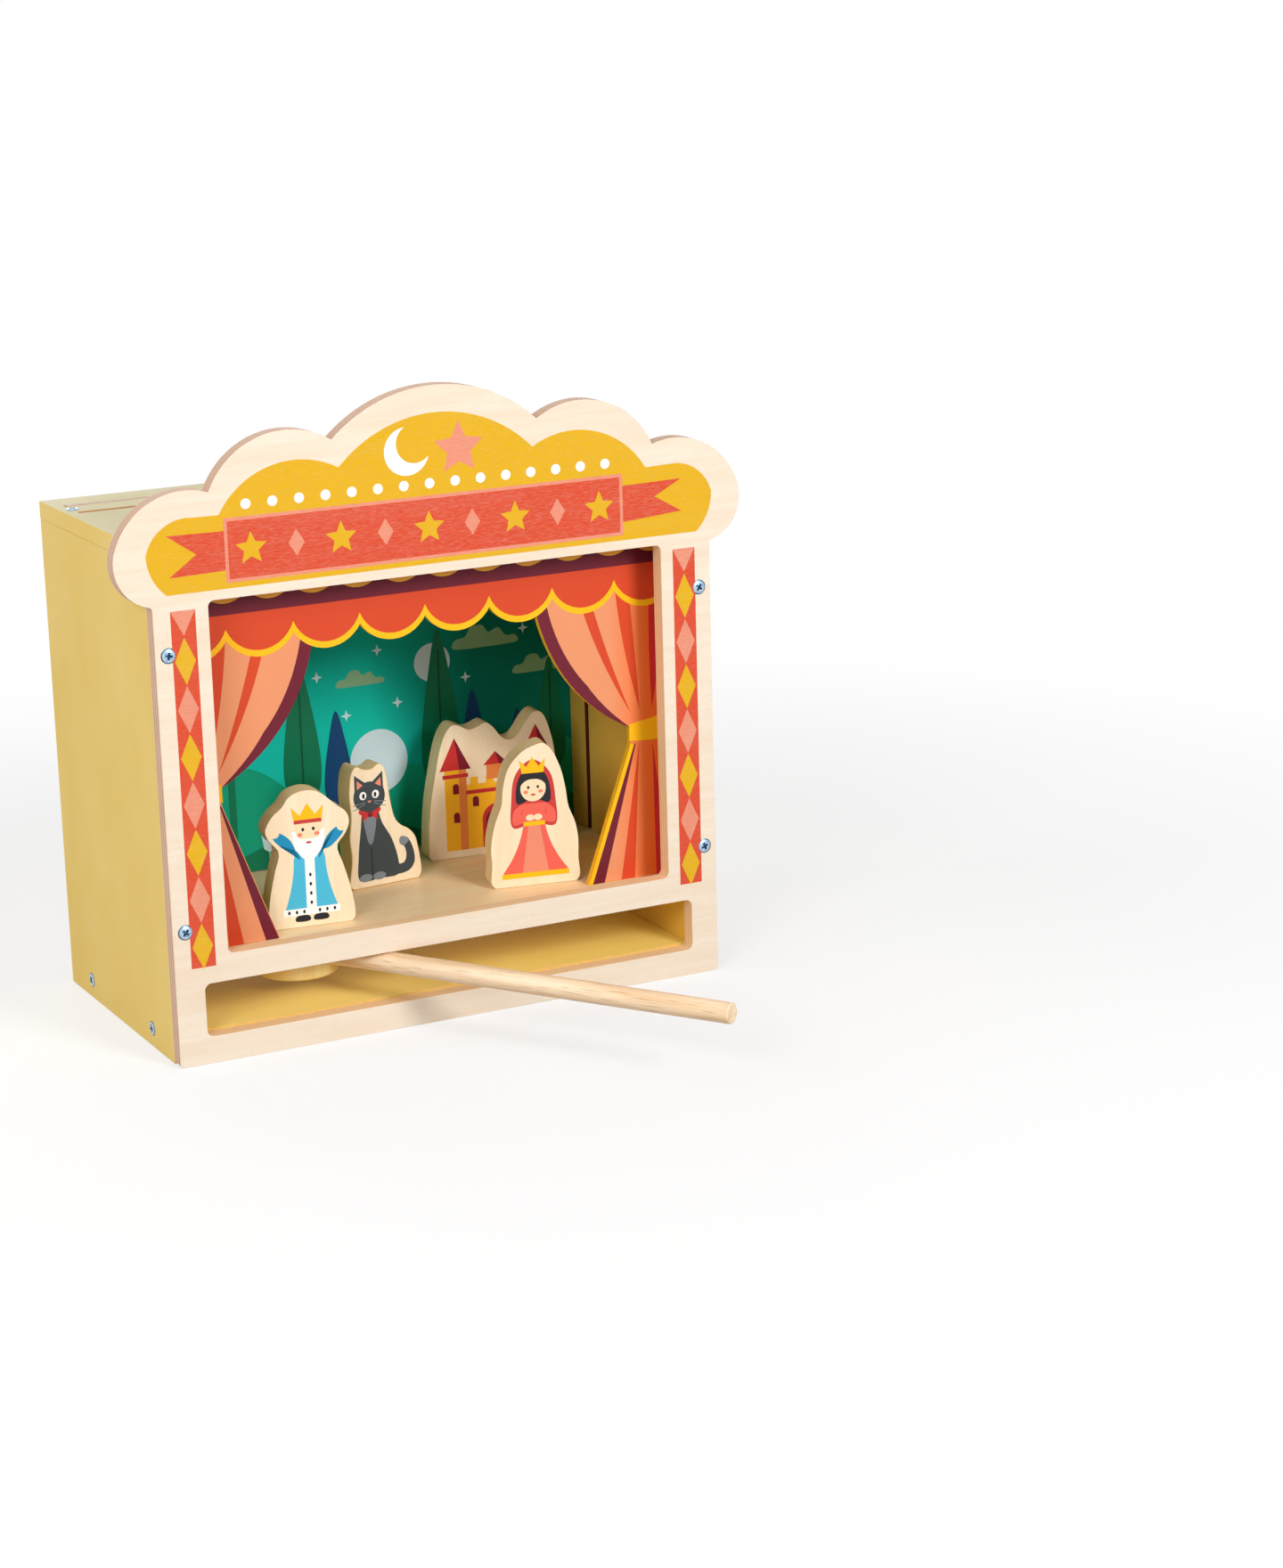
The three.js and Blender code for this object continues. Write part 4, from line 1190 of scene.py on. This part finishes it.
def crossCutter():
    s = screw
    bm = bmesh.new()
    half, wide = s['recessHalf'] * mm, s['recessWide'] * mm
    top, deep = (s['rise'] + s['cutterRise']) * mm, (s['rise'] - s['recessDeep']) * mm
    corners = [(half, wide), (wide, wide), (wide, half), (-wide, half), (-wide, wide), (-half, wide),
               (-half, -wide), (-wide, -wide), (-wide, -half), (wide, -half), (wide, -wide), (half, -wide)]
    face = bm.faces.new([bm.verts.new((x, y, top)) for x, y in corners])
    down = bmesh.ops.extrude_face_region(bm, geom=[face])
    low = [item for item in down['geom'] if isinstance(item, bmesh.types.BMVert)]
    bmesh.ops.translate(bm, verts=low, vec=(0, 0, deep - top))
    bmesh.ops.scale(bm, vec=(s['recessTaper'], s['recessTaper'], 1), verts=low)
    bmesh.ops.recalc_face_normals(bm, faces=bm.faces)
    return asObject('cross_cutter', bm)


def screwMesh():
    s = screw
    shares = [1 - step / s['domeSteps'] for step in range(s['domeSteps'] + 1)]
    dome = [(s['headRadius'] * share, s['domeRise'] * (1 - share ** s['domePower'])) for share in shares]
    cone = s['headRadius'] - s['shankRadius']
    profile = [(0, -s['length']), (s['shankRadius'], -s['length'] + s['point']),
               (s['shankRadius'], -s['rim'] - cone), (s['headRadius'], -s['rim'])] + dome
    blank = asObject('screw_blank', turned(profile, s['sides']))
    cutter = crossCutter()
    boolean = blank.modifiers.new('recess', 'BOOLEAN')
    boolean.operation = 'DIFFERENCE'
    boolean.object = cutter
    made = bpy.data.meshes.new_from_object(blank.evaluated_get(bpy.context.evaluated_depsgraph_get()))
    for gone in (blank, cutter):
        bpy.data.objects.remove(gone)
    return made


def recessAndRimShade(face):  # painted shade: the recess and the head's rim get a dark zinc, for the shade in the recess and the shadow of the gap round the head
    spot = face.calc_center_median() / mm
    across = math.hypot(spot.x, spot.y)
    inRecess = across < screw['recessHalf'] and (abs(face.normal.z) < screw['floorLean'] or spot.z < 0)
    onRim = across > screw['headRadius'] - screw['shadedRim']
    return 1 if inRecess or onRim else 0


def makeScrews():
    blank = screwMesh()
    # painted shade: a dark zinc for the recess and the rim
    recess = zincFinish('zinc_recess_shade', 'zincRecessShadeDark', 'zincRecessShadeBlue', 0.5)
    bright = zincFinish('zinc_plating', 'zinc', 'zincStainAndShade')
    # painted shade: the top screws get a darker, duller copy of the plating, for their shade in the
    # countersinks
    countersunkShade = zincFinish('zinc_dull_shade', 'zincStainAndShade', 'zinc', 0.6)
    outward = {'front': Vector((0, -1, 0)), 'top': Vector((0, 0, 1))}
    for order, node in enumerate(screwNodes):
        low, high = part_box(node)
        sign = 1 if low.x > 0 else -1
        facing = outward.get(node.split('_')[0], Vector((sign, 0, 0)))
        head = (low + high) / 2 + facing * (abs((high - low).dot(facing)) / 2 - screw['rise'] * mm)
        turn = facing.to_track_quat('Z', 'Y').to_matrix().to_4x4()
        spin = Matrix.Rotation(math.radians(screw['firstTurn'] + screw['nextTurn'] * order), 4, 'Z')
        bm = bmesh.new()
        bm.from_mesh(blank)
        for face in bm.faces:
            face.smooth = True
            face.material_index = recessAndRimShade(face)
        bmesh.ops.transform(bm, matrix=Matrix.Translation(head) @ turn @ spin, verts=bm.verts)
        for edge in bm.edges:
            gentle = math.radians(screw['smoothDegrees'])
            edge.smooth = len(edge.link_faces) == 2 and edge.calc_face_angle() < gentle
        plating = countersunkShade if node.startswith('top') else bright
        piece = asPiece(node + '_plated', bm, [plating, recess], 'theatre')
        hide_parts(node)


makeScrews()
print('screws')

# Studio
studio = {
    'key': {'place': (640, -2110, 1120), 'wide': 640, 'tall': 700, 'watts': 34},
    'front': {'place': (-1480, -1480, 1150), 'wide': 900, 'tall': 800, 'watts': 20},
    'left': {'place': (-2300, 200, 1100), 'wide': 1400, 'tall': 1400, 'watts': 16},
    'top': {'place': (0, 300, 2200), 'wide': 1500, 'tall': 1500, 'watts': 4},
    'back': {'place': (200, 2300, 600), 'wide': 1800, 'tall': 1800, 'watts': 26},
    'aim': (0, 0, 160), 'world': 0.23,
    'floorSize': 60000, 'floorSeen': 0.97, 'floorBounce': 0.52, 'floorRoughness': 0.9, 'floorGloss': 0.1,
    'floorGlow': 0.6, 'glowFrom': 450, 'glowTo': 900,
}
white = (1, 1, 1, 1)


def areaLight(name):
    lamp = studio[name]
    data = bpy.data.lights.new(name, 'AREA')
    data.shape = 'RECTANGLE'
    data.size = lamp['wide'] * mm
    data.size_y = lamp['tall'] * mm
    data.energy = lamp['watts']
    light = bpy.data.objects.new(name, data)
    light.location = Vector(lamp['place']) * mm
    aim = Vector(studio['aim']) * mm - light.location
    light.rotation_euler = aim.to_track_quat('-Z', 'Y').to_euler()
    bpy.context.scene.collection.objects.link(light)


def seenDirectly(tree):  # 1 for rays from the camera, a mirror or glass
    cameraRay, glossyRay, glassRay = (tree.add('ShaderNodeLightPath', output=name) for name in (
        'Is Camera Ray', 'Is Glossy Ray', 'Is Transmission Ray'))
    return cameraRay.maths('MAXIMUM', cameraRay.maths('MAXIMUM', cameraRay, glossyRay), glassRay)


def makeWorld():
    world = bpy.data.worlds.new('studio')
    bpy.context.scene.world = world
    tree = Tree(world)
    lit, seen = (tree.add('ShaderNodeBackground', None, {'Strength': strength, 'Color': white})
                 for strength in (studio['world'], 1.0))
    mixed = tree.add('ShaderNodeMixShader', None, {0: seenDirectly(tree), 1: lit, 2: seen})
    tree.plug(mixed, tree.nodes['World Output'].inputs['Surface'])


# The floor keeps the shadows near the theatre and fades to white farther out
def makeFloor():
    bm = bmesh.new()
    bmesh.ops.create_grid(bm, x_segments=1, y_segments=1, size=studio['floorSize'] * mm / 2)
    floor = asObject('studio_floor', bm)
    finish = Finish('studio_floor', studio['floorRoughness'], gloss=studio['floorGloss'])
    seen = seenDirectly(finish)
    bounce, pale = ((studio[name],) * 3 + (1,) for name in ('floorBounce', 'floorSeen'))
    finish.set('Base Color', finish.mix(seen, bounce, pale))
    glow = finish.add('ShaderNodeEmission', None, {'Strength': 1.0, 'Color': white})
    distance = finish.add('ShaderNodeVectorMath', {'operation': 'LENGTH'}, {0: finish.place()}, 'Value')
    far = distance.ramp(studio['glowFrom'] * mm, studio['glowTo'] * mm)
    share = far * (1 - studio['floorGlow']) + studio['floorGlow']
    shaded = Wire(finish, finish.shader.outputs[0])
    mixed = finish.add('ShaderNodeMixShader', None, {0: share * seen, 1: shaded, 2: glow})
    finish.plug(mixed, finish.nodes['Material Output'].inputs['Surface'])
    floor.data.materials.append(finish.material)


view = {
    'place': (-773.5, -1841.7, 637.8), 'turnDegrees': (75.273, 1.487, -27.509), 'lens': 79.93,
    'reach': 50000,
}


def makeCamera():
    data = bpy.data.cameras.new('camera')
    data.lens = view['lens']
    data.clip_end = view['reach'] * mm
    camera = bpy.data.objects.new('camera', data)
    camera.location = Vector(view['place']) * mm
    camera.rotation_euler = [math.radians(angle) for angle in view['turnDegrees']]
    bpy.context.scene.collection.objects.link(camera)
    bpy.context.scene.camera = camera


for lampName in ('key', 'front', 'left', 'top', 'back'):
    areaLight(lampName)
makeWorld()
makeFloor()
makeCamera()
bpy.context.scene.view_settings.view_transform = 'Standard'
print('studio')

bpy.context.view_layer.update()
